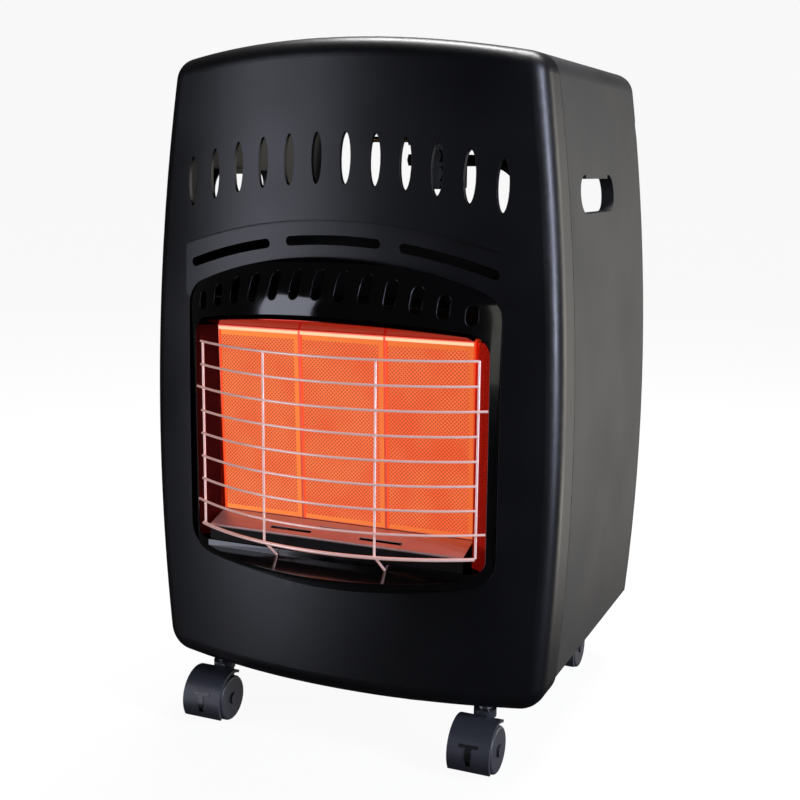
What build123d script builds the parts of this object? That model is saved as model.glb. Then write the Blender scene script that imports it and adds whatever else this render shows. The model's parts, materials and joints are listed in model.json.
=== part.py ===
from build123d import *
import math
import os

os.makedirs("parts", exist_ok=True)

# A portable gas cabinet heater: a bowed steel cabinet on four swivel casters,
# with three ceramic burners behind a wire guard and a cylinder bay at the back.
# Millimetres. X runs to the right, Y to the back and Z up. The origin is on the
# floor, under the middle of the heater's outer box.

# ---------------------------------------------------------------- cabinet
crown_z = 740.0            # top of the cabinet in the middle
crown_bow = 1157.0         # radius of the arched top
half_width = 233.5         # half the width at the widest level
belly_z = 325.0            # level of the widest place
side_bow = 2647.0          # radius of the bowed sides, seen from the front
skirt_z = 67.0             # lower edge of the front panel
body_z = 92.0              # lower edge of the side panels
plan_bow = 663.0           # radius of the front face, seen from above
face_bow = 5640.0          # radius of the front face, seen from the side
face_bow_z = 287.0         # level of the foremost place of the front face
front_depth = 89.8         # front face to the seam with the side panels
side_depth = 329.0         # seam to the rear edge
top_corner = 25.0          # corner radii of the front outline
bottom_corner = 30.0
face_round = 22.0          # roll from the front face into the flange
rear_round = 25.0          # roll at the rear edge
sheet = 1.2                # steel sheet
guard_stand_off = 29.2     # wire guard in front of the face
cover_bulge = 22.0         # rear cover behind the rear edge
reach = 160.0              # front cutters run from the guard back past the face
spare = 1.0                # cutters start this far outside what they cut
skirt_lap = 30.0           # turned-in edge left at the ends of the skirt

depth = guard_stand_off + front_depth + side_depth + cover_bulge
guard_y = -depth / 2
face_y = guard_y + guard_stand_off
seam_y = face_y + front_depth
rear_y = seam_y + side_depth

# ---------------------------------------------------------------- openings
vent_count = 12
vent_pitch = 31.2
vent_size = (14.0, 53.0)   # dished oval, outer size
vent_lip = 1.2             # metal turned inward round each vent
vent_lip_depth = 5.0
vent_z = 622.8             # middle of the vent row, at the centre
vent_bow = 598.0
crease_z = 562.5           # arched step above the burner
crease_bow = 545.0
recess_half = 186.0
recess_depth = 7.0
recess_foot = 470.0
slot_z = 542.3             # three long slots in the recess
slot_bow = 505.0
slot_height = 9.5
slot_middle = 52.4         # half-length of the middle slot
slot_inner = 71.7          # outer slots run from here
slot_outer = 172.0         # to here
handle_z = 589.0           # hand hole in each side panel
handle_back = 109.7        # seam to the middle of the hand hole
handle_length = 139.0
handle_height = 43.0
handle_lip = 14.0          # sheet turned inward round the hole
handle_wall = 2.0
flap_length = 87.0         # rolled grip along the top of the hole
flap_depth = 12.0
flap_dip = 6.0
flap_out = 13.0            # widest level to the middle of the grip
rim_width = 20.0           # flange round the rear opening
rim_top = 690.0            # top of the rear opening
base_corner = 13.0         # base panel's front corners cut off past the roll
seat_gap = 0.05            # left between a piece and what it is set against

# ---------------------------------------------------------------- burner surround
mouth_half = 176.0         # opening in the front panel
mouth_top = 525.5
mouth_top_bow = 428.4
mouth_bottom = 184.0
mouth_bottom_bow = 670.0
mouth_corner = 27.0
mouth_gap = 0.3            # surround inside its opening
surround_r = 303.0         # bulge of the surround, seen from above
surround_wall = 1.6
surround_back_r = 246.0    # rear edge of the surround, seen from above
visor_z = 465.0            # visor starts to lean back here
visor_bow = 70.8
window_half = 166.0
window_top = 470.5
window_top_bow = 843.0
window_corner = 24.0
visor_lean = 58.0          # degrees that the visor turns back through
nose_z = 198.0             # underside of the rounded lower edge
nose_round = 8.0
under_slope = 60.0         # degrees from the front to the underside
shelf_z = 209.5            # lower shelf at the sill
shelf_edge = 6.0           # shelf's front edge above the nose
sill_back = 9.8            # face of the cabinet to the sill
sill_z = 216.0             # window sill
window_foot_corner = 13.0
tray_front_z = 233.0
visor_slot_count = 13
visor_slot_pitch = 25.0
visor_slot_width = 11.0
visor_slot_z = 500.0
visor_slot_bow = 460.0
visor_slot_height = 29.0
visor_slot_end_height = 19.0

# ---------------------------------------------------------------- wire guard
guard_r = 304.0
wire_count = 9
wire_low_z = 231.8
wire_pitch = 24.9
wire = 2.6
sill_wire = 3.6
guard_half = 156.0
upright_x = 62.5
tail_rows = (1, 6)

# ---------------------------------------------------------------- burners
burner_y = face_y + 37.8   # face of the ceramic plaques
burner_lean = 2.5          # degrees, top leaning forward
plaque_width = 94.3
plaque_height = 201.5
plaque_thick = 13.0
plaque_mid_z = 345.0
plaque_gap = 0.6
plaque_rim = 1.2
plaque_inset = 1.0         # plaques stand proud of their heads
gasket = 2.0
gasket_width = 4.0
mixer_bell = 6.0
head_depth = 30.0
mixer_r = 12.0
mixer_drop = 52.0
pan_wall = 0.8
tray_slot = (48.0, 5.0)
tray_slot_x = 52.0
tray_turn = 8.0
tray_lap = 3.0             # tray's front flange behind the sill
hood_rise = 19.0           # top reflector climbs towards the visor
manifold_r = 7.0
manifold_drop = 82.0       # plaque foot to the manifold
nozzle_r = 4.0
nozzle_clear = 5.0
bracket_wall = 1.6
bracket_foot = 12.0
bracket_lap = 8.0
pilot_pitch = 12.0
pilot_shift = 4.0
pilot_plate_drop = 12.0
pilot_plate_depth = 18.0

# ---------------------------------------------------------------- inside
partition_y = seam_y + 24.0
partition_top = 545.0
burner_pipe_x = -26.0
shield_z = 478.0
shield_rise = 26.0
shield_foot = 10.0
shield_lap = 10.0          # shield in front of the plaques
well_x = 45.0              # control well in the top
well_size = (150.0, 84.0)
well_floor_z = 690.0
well_y = seam_y + 56.0
well_corner = 12.0
knob_x = 62.0
knob_r = 22.0
knob_height = 20.0
knob_lift = 5.0            # clearance under the knob for its push
stem_r = 3.0
running_gap = 0.08         # shafts in their holes
body_gap = 0.4             # pieces that pass each other
button_x = 4.0
button_r = 6.0
button_travel = 4.0
button_sleeve_r = 8.0
button_bezel = 2.0
button_show = 2.0
igniter_r = 11.0
igniter_length = 38.0
seat_r = 7.0
seat_height = 2.5
knob_roof = 4.0
knob_skirt = 5.0
knob_grip = 9.0
stem_depth = 14.0
valve_size = (52.0, 34.0, 60.0)
valve_top_z = 652.0
valve_bosses = ((0.1, 0.57, 6.0), (0.12, 0.27, 7.0), (0.14, 0.1, 4.5))
valve_boss = 9.0
outlet_z = 643.5
inlet_z = 622.0
union_r = 7.0
union_length = 9.0
tube_r = 3.0
pipe_bend = 12.0
pipe_stand_off = 6.0       # burner pipe behind the partition
pipe_fall = 44.0           # level lost on the way to the partition
hose_r = 6.0
hose_from_wall = 36.0
hose_tail = 16.0
clip_gap = 6.0
clip_top_z = 374.0
regulator_y = 78.0
regulator_z = 262.0
regulator_r = 27.0
regulator_thick = 28.0
regulator_neck = 26.0
inlet_r = 8.0
nut_r = 18.0
nut_groove = 4.0
nut_lobes = 8
hook_width = 14.0
cover_top = 545.0
cover_margin = 6.0
cover_edge = 8.0
cover_hook = 8.0
cover_hook_x = 150.0
cover_grip = 110.0
cover_grip_height = 24.0
cover_grip_drop = 34.0
louvre_low = 190.0
louvre_high = 430.0
louvre_rows = 5
louvre_columns = 3
louvre_pitch_x = 96.0
louvre_pitch_z = 16.0
louvre_length = 78.0
louvre_height = 5.0

# ---------------------------------------------------------------- casters
wheel_r = 25.0
wheel_width = 15.0
wheel_track = 15.5         # wheel middle to caster middle
caster_x = 157.6
caster_trail = 21.0
front_caster_y = face_y + 56.8
rear_caster_y = rear_y - 48.0
hood_r = 31.5
hood_wall = 3.2
web_half = 6.5
axle_r = 4.0
king_r = 3.5               # swivel pin
king_thread_r = 5.0
collar_r = 7.5
hood_top_z = 60.0
caster_plate = 48.0
collar_gap = 0.5
socket_r = 12.0
socket_z = 51.5
axle_head = 2.0
hood_from = 32.0           # degrees below level at the front
hood_to = 62.0             # degrees above level at the back
hood_mark = 6.0
web_lift = 9.0
wheel_edge = 3.0
nut_height = 8.0
thread_show = 2.0
pin_clear = 5.0            # swivel pin above the axle

front = Plane.XZ           # normal points to the front, -Y


def at_depth(y):
    """Front-view sketch plane standing at depth y."""
    return front.offset(-y)


def arch(top, radius, x):
    """Height at x of an arch whose crown is at top."""
    return top - radius + math.sqrt(radius**2 - x**2)


def keep(part, label):
    """Names a finished piece and writes it."""
    part.label = label
    export_step(part, f"parts/{label}.step")
    return part


def turned_block(profile, axis_y, half_angle):
    """Turns a (radius, z) profile round an upright axis, to both sides of the middle."""
    turn = math.radians(half_angle)
    start = Plane(
        origin=(0, axis_y, 0),
        x_dir=(-math.sin(turn), -math.cos(turn), 0),
        z_dir=(-math.cos(turn), math.sin(turn), 0),
    )
    with BuildPart() as block:
        with BuildSketch(start):
            add(profile)
        revolve(axis=Axis((0, axis_y, 0), (0, 0, 1)), revolution_arc=2 * half_angle)
    return block.part


def bowed_face(apex_y, radius, grow=0.0):
    """Solid behind a face that bows from side to side and from top to bottom."""
    bow = face_bow - grow
    span = crown_z * 0.7
    low = face_bow_z - span
    high = face_bow_z + span
    side_r = radius - bow + math.sqrt(bow**2 - span**2)
    inner = radius * 0.15
    with BuildSketch() as profile:
        with BuildLine():
            ThreePointArc((side_r, low), (radius, face_bow_z), (side_r, high))
            Polyline((side_r, high), (inner, high), (inner, low), (side_r, low))
        make_face()
    return turned_block(profile.sketch, apex_y + radius, 62.0)


def cabinet_outline(inset, floor_z):
    """Front outline of the cabinet, drawn in by inset, down to floor_z."""
    side_r = side_bow - inset
    side_x = half_width - side_bow
    crown_x = half_width * 0.88
    for _ in range(8):
        crown_corner_z = arch(crown_z - inset, crown_bow - inset, crown_x)
        crown_x = side_x + math.sqrt(side_r**2 - (crown_corner_z - belly_z) ** 2)
    floor_level = floor_z + inset
    floor_x = side_x + math.sqrt(side_r**2 - (floor_level - belly_z) ** 2)
    widest = half_width - inset
    with BuildSketch() as outline:
        with BuildLine():
            ThreePointArc((-crown_x, crown_corner_z), (0, crown_z - inset), (crown_x, crown_corner_z))
            ThreePointArc((crown_x, crown_corner_z), (widest, belly_z), (floor_x, floor_level))
            Line((floor_x, floor_level), (-floor_x, floor_level))
            ThreePointArc((-floor_x, floor_level), (-widest, belly_z), (-crown_x, crown_corner_z))
        make_face()
        fillet(outline.vertices().group_by(Axis.Y)[-1], top_corner - inset)
        fillet(outline.vertices().group_by(Axis.Y)[0], bottom_corner - inset)
    return outline.sketch


def cabinet_block(inset, floor_z):
    """Solid with the outer form of the cabinet, drawn in by inset."""
    with BuildPart() as block:
        with BuildSketch(at_depth(rear_y - inset)):
            add(cabinet_outline(inset, floor_z))
        extrude(amount=depth)
        add(bowed_face(face_y + inset, plan_bow - inset, inset), mode=Mode.INTERSECT)
        fillet(block.faces().sort_by(Axis.Y)[-1].edges(), rear_round - inset)
        fillet(block.faces().sort_by(Axis.Y)[0].edges(), face_round - inset)
    return block.part


def mouth_outline(grow=0.0):
    """Outline of the opening in the front panel."""
    half = mouth_half + grow
    top = mouth_top + grow
    bottom = mouth_bottom - grow
    bottom_r = mouth_bottom_bow + grow
    top_side = arch(top, mouth_top_bow + grow, half)
    foot_side = bottom + bottom_r - math.sqrt(bottom_r**2 - half**2)
    with BuildSketch() as outline:
        with BuildLine():
            ThreePointArc((-half, top_side), (0, top), (half, top_side))
            Line((half, top_side), (half, foot_side))
            ThreePointArc((half, foot_side), (0, bottom), (-half, foot_side))
            Line((-half, foot_side), (-half, top_side))
        make_face()
        fillet(outline.vertices(), mouth_corner + grow)
    return outline.sketch


def recess_outline(grow=0.0):
    """Outline of the recess above the burner."""
    half = recess_half + grow
    top = crease_z + grow
    side = arch(top, crease_bow + grow, half)
    foot = recess_foot - grow
    with BuildSketch() as outline:
        with BuildLine():
            ThreePointArc((-half, side), (0, top), (half, side))
            Polyline((half, side), (half, foot), (-half, foot), (-half, side))
        make_face()
        fillet(outline.vertices().group_by(Axis.Y)[0], mouth_corner + grow)
    return outline.sketch


def vent_ovals(shrink=0.0):
    """The row of upright ovals, following an arch."""
    with BuildSketch() as row:
        for index in range(vent_count):
            vent_x = (index - (vent_count - 1) / 2) * vent_pitch
            with Locations((vent_x, arch(vent_z, vent_bow, vent_x))):
                Ellipse(vent_size[0] / 2 - shrink, vent_size[1] / 2 - shrink)
    return row.sketch


def long_slots():
    """Three long slots along one arch, above the burner."""
    centre = (0, slot_z - slot_bow)
    spans = [(-slot_middle, slot_middle), (slot_inner, slot_outer), (-slot_outer, -slot_inner)]
    with BuildSketch() as row:
        for left, right in spans:
            end_round = math.degrees(slot_height / 2 / slot_bow)
            start_angle = math.degrees(math.acos(right / slot_bow)) + end_round
            arc_size = math.degrees(math.acos(left / slot_bow)) - end_round - start_angle
            with BuildLine(mode=Mode.PRIVATE) as middle:
                CenterArc(centre, slot_bow, start_angle, arc_size)
            SlotArc(middle.wire(), slot_height)
    return row.sketch


# ---------------------------------------------------------------- front panel
recess_sag = recess_half**2 / (2 * plan_bow) - recess_depth
recess_bow = recess_half**2 / (2 * recess_sag)

with BuildPart() as recess_cut:
    with BuildSketch(at_depth(guard_y)):
        add(recess_outline())
    extrude(amount=-reach)
    add(bowed_face(face_y + recess_depth, recess_bow), mode=Mode.SUBTRACT)

with BuildPart() as front_hollow:
    with BuildSketch(at_depth(guard_y)):
        add(recess_outline(sheet))
    extrude(amount=-reach)
    add(bowed_face(face_y + recess_depth + sheet, recess_bow, sheet), mode=Mode.SUBTRACT)

with BuildPart() as vent_lips:
    with BuildSketch(at_depth(guard_y)):
        add(vent_ovals())
    extrude(amount=-reach)
    add(cabinet_block(0, skirt_z), mode=Mode.INTERSECT)
    add(cabinet_block(vent_lip_depth, skirt_z), mode=Mode.SUBTRACT)

with BuildPart() as inner_front:
    add(cabinet_block(sheet, skirt_z))
    add(front_hollow.part, mode=Mode.SUBTRACT)

with BuildPart() as front_panel:
    add(cabinet_block(0, skirt_z))
    add(recess_cut.part, mode=Mode.SUBTRACT)
    add(inner_front.part, mode=Mode.SUBTRACT)
    split(bisect_by=at_depth(seam_y), keep=Keep.TOP)
    add(vent_lips.part)
    with BuildSketch(at_depth(guard_y)):
        add(vent_ovals(vent_lip))
        add(long_slots())
        add(mouth_outline())
    extrude(amount=-reach, mode=Mode.SUBTRACT)
    with BuildSketch(Plane.XY.offset(skirt_z)):
        with Locations((0, seam_y)):
            Rectangle(2 * (half_width - skirt_lap), 2 * (front_depth - face_round))
    extrude(amount=sheet * 3, both=True, mode=Mode.SUBTRACT)

keep(front_panel.part, "front_panel")

# ---------------------------------------------------------------- side panels and top panel
rim_half = half_width - rear_round - rim_width
rim_foot = body_z + rim_width
top_seam_x = half_width - rear_round - top_corner
handle_y = seam_y + handle_back

with BuildPart() as shell:
    add(cabinet_block(0, skirt_z))
    add(cabinet_block(sheet, skirt_z), mode=Mode.SUBTRACT)
    split(bisect_by=at_depth(seam_y), keep=Keep.BOTTOM)
    split(bisect_by=Plane.XY.offset(body_z), keep=Keep.TOP)
    with BuildSketch(at_depth(rear_y + sheet)):
        with Locations((0, (rim_foot + rim_top) / 2)):
            RectangleRounded(2 * rim_half, rim_top - rim_foot, rear_round)
    extrude(amount=rear_round, mode=Mode.SUBTRACT)

with BuildPart() as well_hole:
    with BuildSketch(Plane.XY.offset(well_floor_z)):
        with Locations((well_x, well_y)):
            RectangleRounded(*well_size, well_corner)
    extrude(amount=crown_z)
    fillet(well_hole.edges().group_by(Axis.Z)[0], well_corner / 2)

with BuildPart() as top_panel:
    add(shell.part)
    split(bisect_by=Plane.YZ.offset(top_seam_x), keep=Keep.BOTTOM)
    split(bisect_by=Plane.YZ.offset(-top_seam_x), keep=Keep.TOP)
    split(bisect_by=Plane.XY.offset(rim_top - rear_round), keep=Keep.TOP)
    add(well_hole.part, mode=Mode.SUBTRACT)
keep(top_panel.part, "top_panel")

hand_plane = Plane.YZ.offset(half_width + sheet)
flap_top_z = handle_z + handle_height / 2
with BuildPart() as hand_lip:
    with BuildSketch(hand_plane):
        with Locations((handle_y, handle_z)):
            SlotOverall(handle_length, handle_height)
            SlotOverall(handle_length - 2 * handle_wall, handle_height - 2 * handle_wall, mode=Mode.SUBTRACT)
    extrude(amount=-half_width / 4)
    with BuildSketch(at_depth(handle_y - flap_length / 2)):
        with Locations((half_width - flap_out, flap_top_z - flap_dip / 2)):
            Rectangle(flap_depth, flap_dip)
    extrude(amount=-flap_length)
    add(cabinet_block(0, skirt_z), mode=Mode.INTERSECT)
    add(cabinet_block(handle_lip, skirt_z), mode=Mode.SUBTRACT)

with BuildPart() as right_side_panel:
    add(shell.part)
    split(bisect_by=Plane.YZ.offset(top_seam_x), keep=Keep.TOP)
    with BuildSketch(hand_plane):
        with Locations((handle_y, handle_z)):
            SlotOverall(handle_length - handle_wall, handle_height - handle_wall)
    extrude(amount=-half_width / 4, mode=Mode.SUBTRACT)
    add(hand_lip.part)
keep(right_side_panel.part, "right_side_panel")

with BuildPart() as left_side_panel:
    add(right_side_panel.part.mirror(Plane.YZ))
keep(left_side_panel.part, "left_side_panel")

with BuildPart() as rear_sill:
    add(shell.part)
    split(bisect_by=Plane.YZ.offset(top_seam_x), keep=Keep.BOTTOM)
    split(bisect_by=Plane.YZ.offset(-top_seam_x), keep=Keep.TOP)
    split(bisect_by=Plane.XY.offset(rim_foot + rear_round), keep=Keep.BOTTOM)
keep(rear_sill.part, "rear_sill")

# ---------------------------------------------------------------- where the burners stand
lean = math.radians(burner_lean)
burner_plane = Plane(
    origin=(0, burner_y, plaque_mid_z),
    x_dir=(1, 0, 0),
    z_dir=(0, -math.cos(lean), -math.sin(lean)),
)
down = -burner_plane.y_dir
plaque_pitch = plaque_width + 2 * plaque_rim + plaque_gap
head_back = plaque_thick + head_depth
mixer_z = -(plaque_thick + head_depth / 2)
head_foot = -plaque_height / 2 - plaque_rim
manifold_y = -plaque_height / 2 - manifold_drop
row_half = 1.5 * plaque_pitch
tray_half = row_half - body_gap
manifold_at = burner_plane.from_local_coords(Vector(0, manifold_y, mixer_z))

# ---------------------------------------------------------------- base, partition and heat shield
floor_z = body_z + sheet
base_front_y = front_caster_y - caster_plate / 2 - body_gap
caster_spots = [
    (name_y, name_x, x, y)
    for name_y, y in (("front", front_caster_y), ("rear", rear_caster_y))
    for name_x, x in (("left", -caster_x), ("right", caster_x))
]

corner_r = bottom_corner - sheet
corner_dip = max(0.0, skirt_z + bottom_corner - body_z)
corner_in = corner_r - math.sqrt(corner_r**2 - corner_dip**2)
side_half = half_width - side_bow + math.sqrt((side_bow - sheet) ** 2 - (body_z - belly_z) ** 2)
base_half = side_half - corner_in - seat_gap
with BuildPart() as base_panel:
    with BuildSketch(Plane.XY.offset(body_z)) as base_outline:
        with Locations((0, (base_front_y + rear_y - sheet - seat_gap) / 2)):
            Rectangle(2 * base_half, rear_y - sheet - seat_gap - base_front_y)
        chamfer(base_outline.vertices().group_by(Axis.Y)[0], face_round + base_corner)
        fillet(base_outline.vertices().group_by(Axis.Y)[-1], rear_round)
        with Locations(*[(x, y) for _, _, x, y in caster_spots]):
            Circle(king_thread_r, mode=Mode.SUBTRACT)
    extrude(amount=sheet)
keep(base_panel.part, "base_panel")

with BuildPart() as partition:
    with BuildSketch(at_depth(partition_y)):
        with Locations((0, floor_z)):
            Rectangle(2 * half_width, partition_top - floor_z, align=(Align.CENTER, Align.MIN))
    extrude(amount=sheet)
    add(cabinet_block(sheet, skirt_z), mode=Mode.INTERSECT)
    with BuildSketch(at_depth(partition_y)):
        with Locations((burner_pipe_x, manifold_at.Z)):
            Rectangle(4 * tube_r, 6 * tube_r)
    extrude(amount=2 * sheet, both=True, mode=Mode.SUBTRACT)
keep(partition.part, "partition")

shield_back = partition_y - 2 * sheet
shield_front = burner_y - shield_lap
with BuildPart() as heat_shield:
    with BuildSketch(Plane.YZ):
        with BuildLine():
            shield_line = Polyline(
                (shield_back, shield_z + shield_rise),
                (shield_back - shield_foot, shield_z),
                (shield_front, shield_z),
            )
            offset(shield_line, amount=sheet / 2, side=Side.BOTH)
        make_face()
    extrude(amount=tray_half, both=True)
keep(heat_shield.part, "heat_shield")

# ---------------------------------------------------------------- burner surround
bow_y = guard_y + guard_r  # upright axis that the guard and the surround bow round
sill_y = face_y + sill_back


def surround_profile(wall):
    """Bulge of the surround in (radius, z), drawn in by wall."""
    nose = surround_r - wall
    lean_r = visor_bow - wall
    lean_x = surround_r - visor_bow
    lean = math.radians(visor_lean)
    top_r = lean_x + lean_r * math.cos(lean)
    top_z = visor_z + lean_r * math.sin(lean)
    turn = nose_round - wall
    under = math.radians(under_slope)
    turn_x = nose - turn
    turn_z = nose_z + nose_round
    low_r = turn_x + turn * math.cos(under)
    low_z = turn_z - turn * math.sin(under)
    drop = (low_r - surround_back_r) * math.tan(math.pi / 2 - under)
    with BuildSketch() as profile:
        with BuildLine():
            Polyline(
                (surround_back_r, low_z - drop),
                (surround_back_r, top_z + top_r - surround_back_r),
                (top_r, top_z),
            )
            CenterArc((lean_x, visor_z), lean_r, 0, visor_lean)
            Line((nose, visor_z), (nose, turn_z))
            CenterArc((turn_x, turn_z), turn, 0, -under_slope)
            Line((low_r, low_z), (surround_back_r, low_z - drop))
        make_face()
    return profile.sketch


def shelf_cut(wall):
    """Space over the lower shelf, in front of the sill, grown by wall."""
    with BuildPart() as cut:
        with BuildSketch(Plane.YZ):
            with BuildLine():
                Polyline(
                    (sill_y + wall, shelf_z - wall),
                    (guard_y - wall, nose_z + shelf_edge - wall),
                    (guard_y - wall, window_top / 2 + shelf_z / 2),
                    (sill_y + wall, window_top / 2 + shelf_z / 2),
                    close=True,
                )
            make_face()
        extrude(amount=window_half + wall, both=True)
    return cut.part


def surround_block(wall):
    """Outer form of the surround, drawn in by wall."""
    with BuildPart() as block:
        with BuildSketch(at_depth(guard_y - spare)):
            add(mouth_outline(-mouth_gap - wall))
        extrude(amount=-reach)
        add(turned_block(surround_profile(wall), bow_y, 50), mode=Mode.INTERSECT)
        add(shelf_cut(wall), mode=Mode.SUBTRACT)
    return block.part


def window_outline():
    """Opening that the burners are seen through."""
    side_top = arch(window_top, window_top_bow, window_half)
    with BuildSketch() as outline:
        with BuildLine():
            ThreePointArc((-window_half, side_top), (0, window_top), (window_half, side_top))
            Polyline(
                (window_half, side_top),
                (window_half, sill_z),
                (-window_half, sill_z),
                (-window_half, side_top),
            )
        make_face()
        fillet(outline.vertices().group_by(Axis.Y)[-1], window_corner)
        fillet(outline.vertices().group_by(Axis.Y)[0], window_foot_corner)
    return outline.sketch


def visor_slots():
    """Upright slots along the visor, shorter towards the ends."""
    with BuildSketch() as row:
        for index in range(visor_slot_count):
            step = index - (visor_slot_count - 1) / 2
            x = step * visor_slot_pitch
            share = abs(2 * step / (visor_slot_count - 1)) ** 3
            height = visor_slot_height + (visor_slot_end_height - visor_slot_height) * share
            with Locations((x, arch(visor_slot_z, visor_slot_bow, x))):
                SlotOverall(height, visor_slot_width, rotation=90)
    return row.sketch


with BuildPart() as burner_surround:
    add(surround_block(0))
    add(surround_block(surround_wall), mode=Mode.SUBTRACT)
    with BuildSketch(at_depth(guard_y - spare)):
        add(window_outline())
    extrude(amount=-reach, mode=Mode.SUBTRACT)
    with BuildSketch(at_depth(guard_y - spare)):
        add(visor_slots())
    extrude(amount=surround_back_r + spare - guard_r, mode=Mode.SUBTRACT)
keep(burner_surround.part, "burner_surround")

# ---------------------------------------------------------------- wire guard
guard_back_r = guard_r - sill_wire
upright_r = guard_back_r - wire / 2 - seat_gap
guard_top_z = wire_low_z + (wire_count - 1) * wire_pitch


def shelf_level(y):
    """Height of the sloping shelf at depth y."""
    slope = (shelf_z - nose_z - shelf_edge) / (sill_y - guard_y)
    return shelf_z + (y - sill_y) * slope


with BuildPart() as wire_guard:
    for row in range(wire_count):
        rod = sill_wire if row == 0 else wire
        rod_r = guard_back_r + rod / 2
        half = window_half - mouth_gap if row in tail_rows else guard_half + wire / 2
        with BuildSketch(mode=Mode.PRIVATE) as section:
            with Locations((rod_r, wire_low_z + row * wire_pitch)):
                Circle(rod / 2)
        half_angle = math.degrees(math.asin(half / (rod_r + rod / 2)))
        add(turned_block(section.sketch, bow_y, half_angle))
    for x in (-guard_half, -upright_x, upright_x, guard_half):
        y = bow_y - math.sqrt(upright_r**2 - x**2)
        with Locations((x, y, wire_low_z)):
            Cylinder(wire / 2, guard_top_z - wire_low_z, align=(Align.CENTER, Align.CENTER, Align.MIN))
    for x in (-upright_x, upright_x):  # their legs run back onto the shelf, up to the sill
        y = bow_y - math.sqrt(upright_r**2 - x**2)
        knee = Vector(x, y, wire_low_z)
        foot_y = sill_y - wire / 2 - seat_gap
        leg_back = foot_y - y
        leg_drop = wire_low_z - shelf_level(foot_y)
        leg_tip = wire / 2 * leg_back / math.hypot(leg_back, leg_drop)
        foot = Vector(x, foot_y, shelf_level(foot_y) + leg_tip)
        with Locations(knee):
            Sphere(wire / 2)
        with BuildSketch(Plane(origin=knee, z_dir=foot - knee)):
            Circle(wire / 2)
        extrude(amount=(foot - knee).length)
keep(wire_guard.part, "wire_guard")

# ---------------------------------------------------------------- burners
with BuildPart() as plaque_gaskets:
    with BuildSketch(burner_plane.offset(-plaque_thick)):
        with GridLocations(plaque_pitch, 0, 3, 1):
            Rectangle(plaque_width, plaque_height)
            Rectangle(plaque_width - 2 * gasket_width, plaque_height - 2 * gasket_width, mode=Mode.SUBTRACT)
    extrude(amount=-gasket)
keep(plaque_gaskets.part, "plaque_gaskets")

for index, place in enumerate(("left", "middle", "right")):
    x = (index - 1) * plaque_pitch
    with BuildPart() as plaque:
        with BuildSketch(burner_plane):
            with Locations((x, 0)):
                Rectangle(plaque_width, plaque_height)
        extrude(amount=-plaque_thick)
    keep(plaque.part, f"plaque_{place}")

    mixer_plane = Plane(
        origin=burner_plane.from_local_coords(Vector(x, head_foot + plaque_rim / 2, mixer_z)),
        x_dir=(1, 0, 0),
        z_dir=down,
    )
    with BuildPart() as burner_head:
        with BuildSketch(burner_plane.offset(-plaque_inset)):
            with Locations((x, 0)):
                Rectangle(plaque_width + 2 * plaque_rim, plaque_height + 2 * plaque_rim)
        extrude(amount=-head_back + plaque_inset)
        with BuildSketch(burner_plane):
            with Locations((x, 0)):
                Rectangle(plaque_width, plaque_height)
        extrude(amount=-head_back + plaque_rim, mode=Mode.SUBTRACT)
        with BuildSketch(mixer_plane):
            Circle(mixer_r)
        extrude(amount=mixer_drop)
        with BuildSketch(mixer_plane.offset(mixer_drop - mixer_bell)):
            Circle(mixer_r)
        with BuildSketch(mixer_plane.offset(mixer_drop)):
            Circle(mixer_r + mixer_bell / 2)
        loft()
        with BuildSketch(mixer_plane.offset(-plaque_rim)):
            Circle(mixer_r - plaque_rim)
        extrude(amount=mixer_drop + 2 * plaque_rim, mode=Mode.SUBTRACT)
    keep(burner_head.part, f"burner_head_{place}")

with BuildPart() as burner_brackets:
    for side in (-1, 1):
        inner_x = side * (row_half + plaque_gap / 2)
        with BuildSketch(Plane.XY.offset(plaque_mid_z - plaque_height / 3)):
            with BuildLine():
                Polyline(
                    (inner_x, burner_y + plaque_thick),
                    (inner_x + side * bracket_wall, burner_y + plaque_thick),
                    (inner_x + side * bracket_wall, partition_y - sheet - bracket_wall),
                    (inner_x + side * bracket_foot, partition_y - sheet - bracket_wall),
                    (inner_x + side * bracket_foot, partition_y - sheet),
                    (inner_x, partition_y - sheet),
                    close=True,
                )
            make_face()
        extrude(amount=plaque_height * 2 / 3)
keep(burner_brackets.part, "burner_brackets")

# ---------------------------------------------------------------- reflectors
pan_r = surround_r - surround_wall - body_gap
plaque_foot = burner_plane.from_local_coords(Vector(0, head_foot, 0))
plaque_head = burner_plane.from_local_coords(Vector(0, -head_foot, 0))


def pan_limit():
    """Space behind the bulge of the surround."""
    with BuildSketch() as profile:
        with Locations((pan_r / 2, crown_z / 2)):
            Rectangle(pan_r, crown_z)
    return turned_block(profile.sketch, bow_y, 89)


def bent_sheet(points, half_length):
    """Sheet bent along a line in side view, from side to side."""
    with BuildPart() as bent:
        with BuildSketch(Plane.YZ):
            with BuildLine():
                line = Polyline(*points)
                offset(line, amount=pan_wall / 2, side=Side.BOTH)
            make_face()
        extrude(amount=half_length, both=True)
    return bent.part


tray_front_y = sill_y + surround_wall + body_gap
with BuildPart() as reflector_tray:
    add(
        bent_sheet(
            [
                (plaque_foot.Y + tray_turn, plaque_foot.Z - tray_turn - pan_wall),
                (plaque_foot.Y, plaque_foot.Z - pan_wall),
                (tray_front_y + pan_wall, tray_front_z),
                (tray_front_y + pan_wall, sill_z - tray_lap),
            ],
            tray_half,
        )
    )
    add(pan_limit(), mode=Mode.INTERSECT)
    with BuildSketch(Plane.XY.offset(tray_front_z - tray_turn)):
        for x, y_share in ((-tray_slot_x, 0.3), (0, 0.62), (tray_slot_x, 0.3)):
            with Locations((x, tray_front_y + (plaque_foot.Y - tray_front_y) * y_share)):
                Rectangle(*tray_slot)
    extrude(amount=4 * tray_turn, mode=Mode.SUBTRACT)
keep(reflector_tray.part, "reflector_tray")

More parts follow.
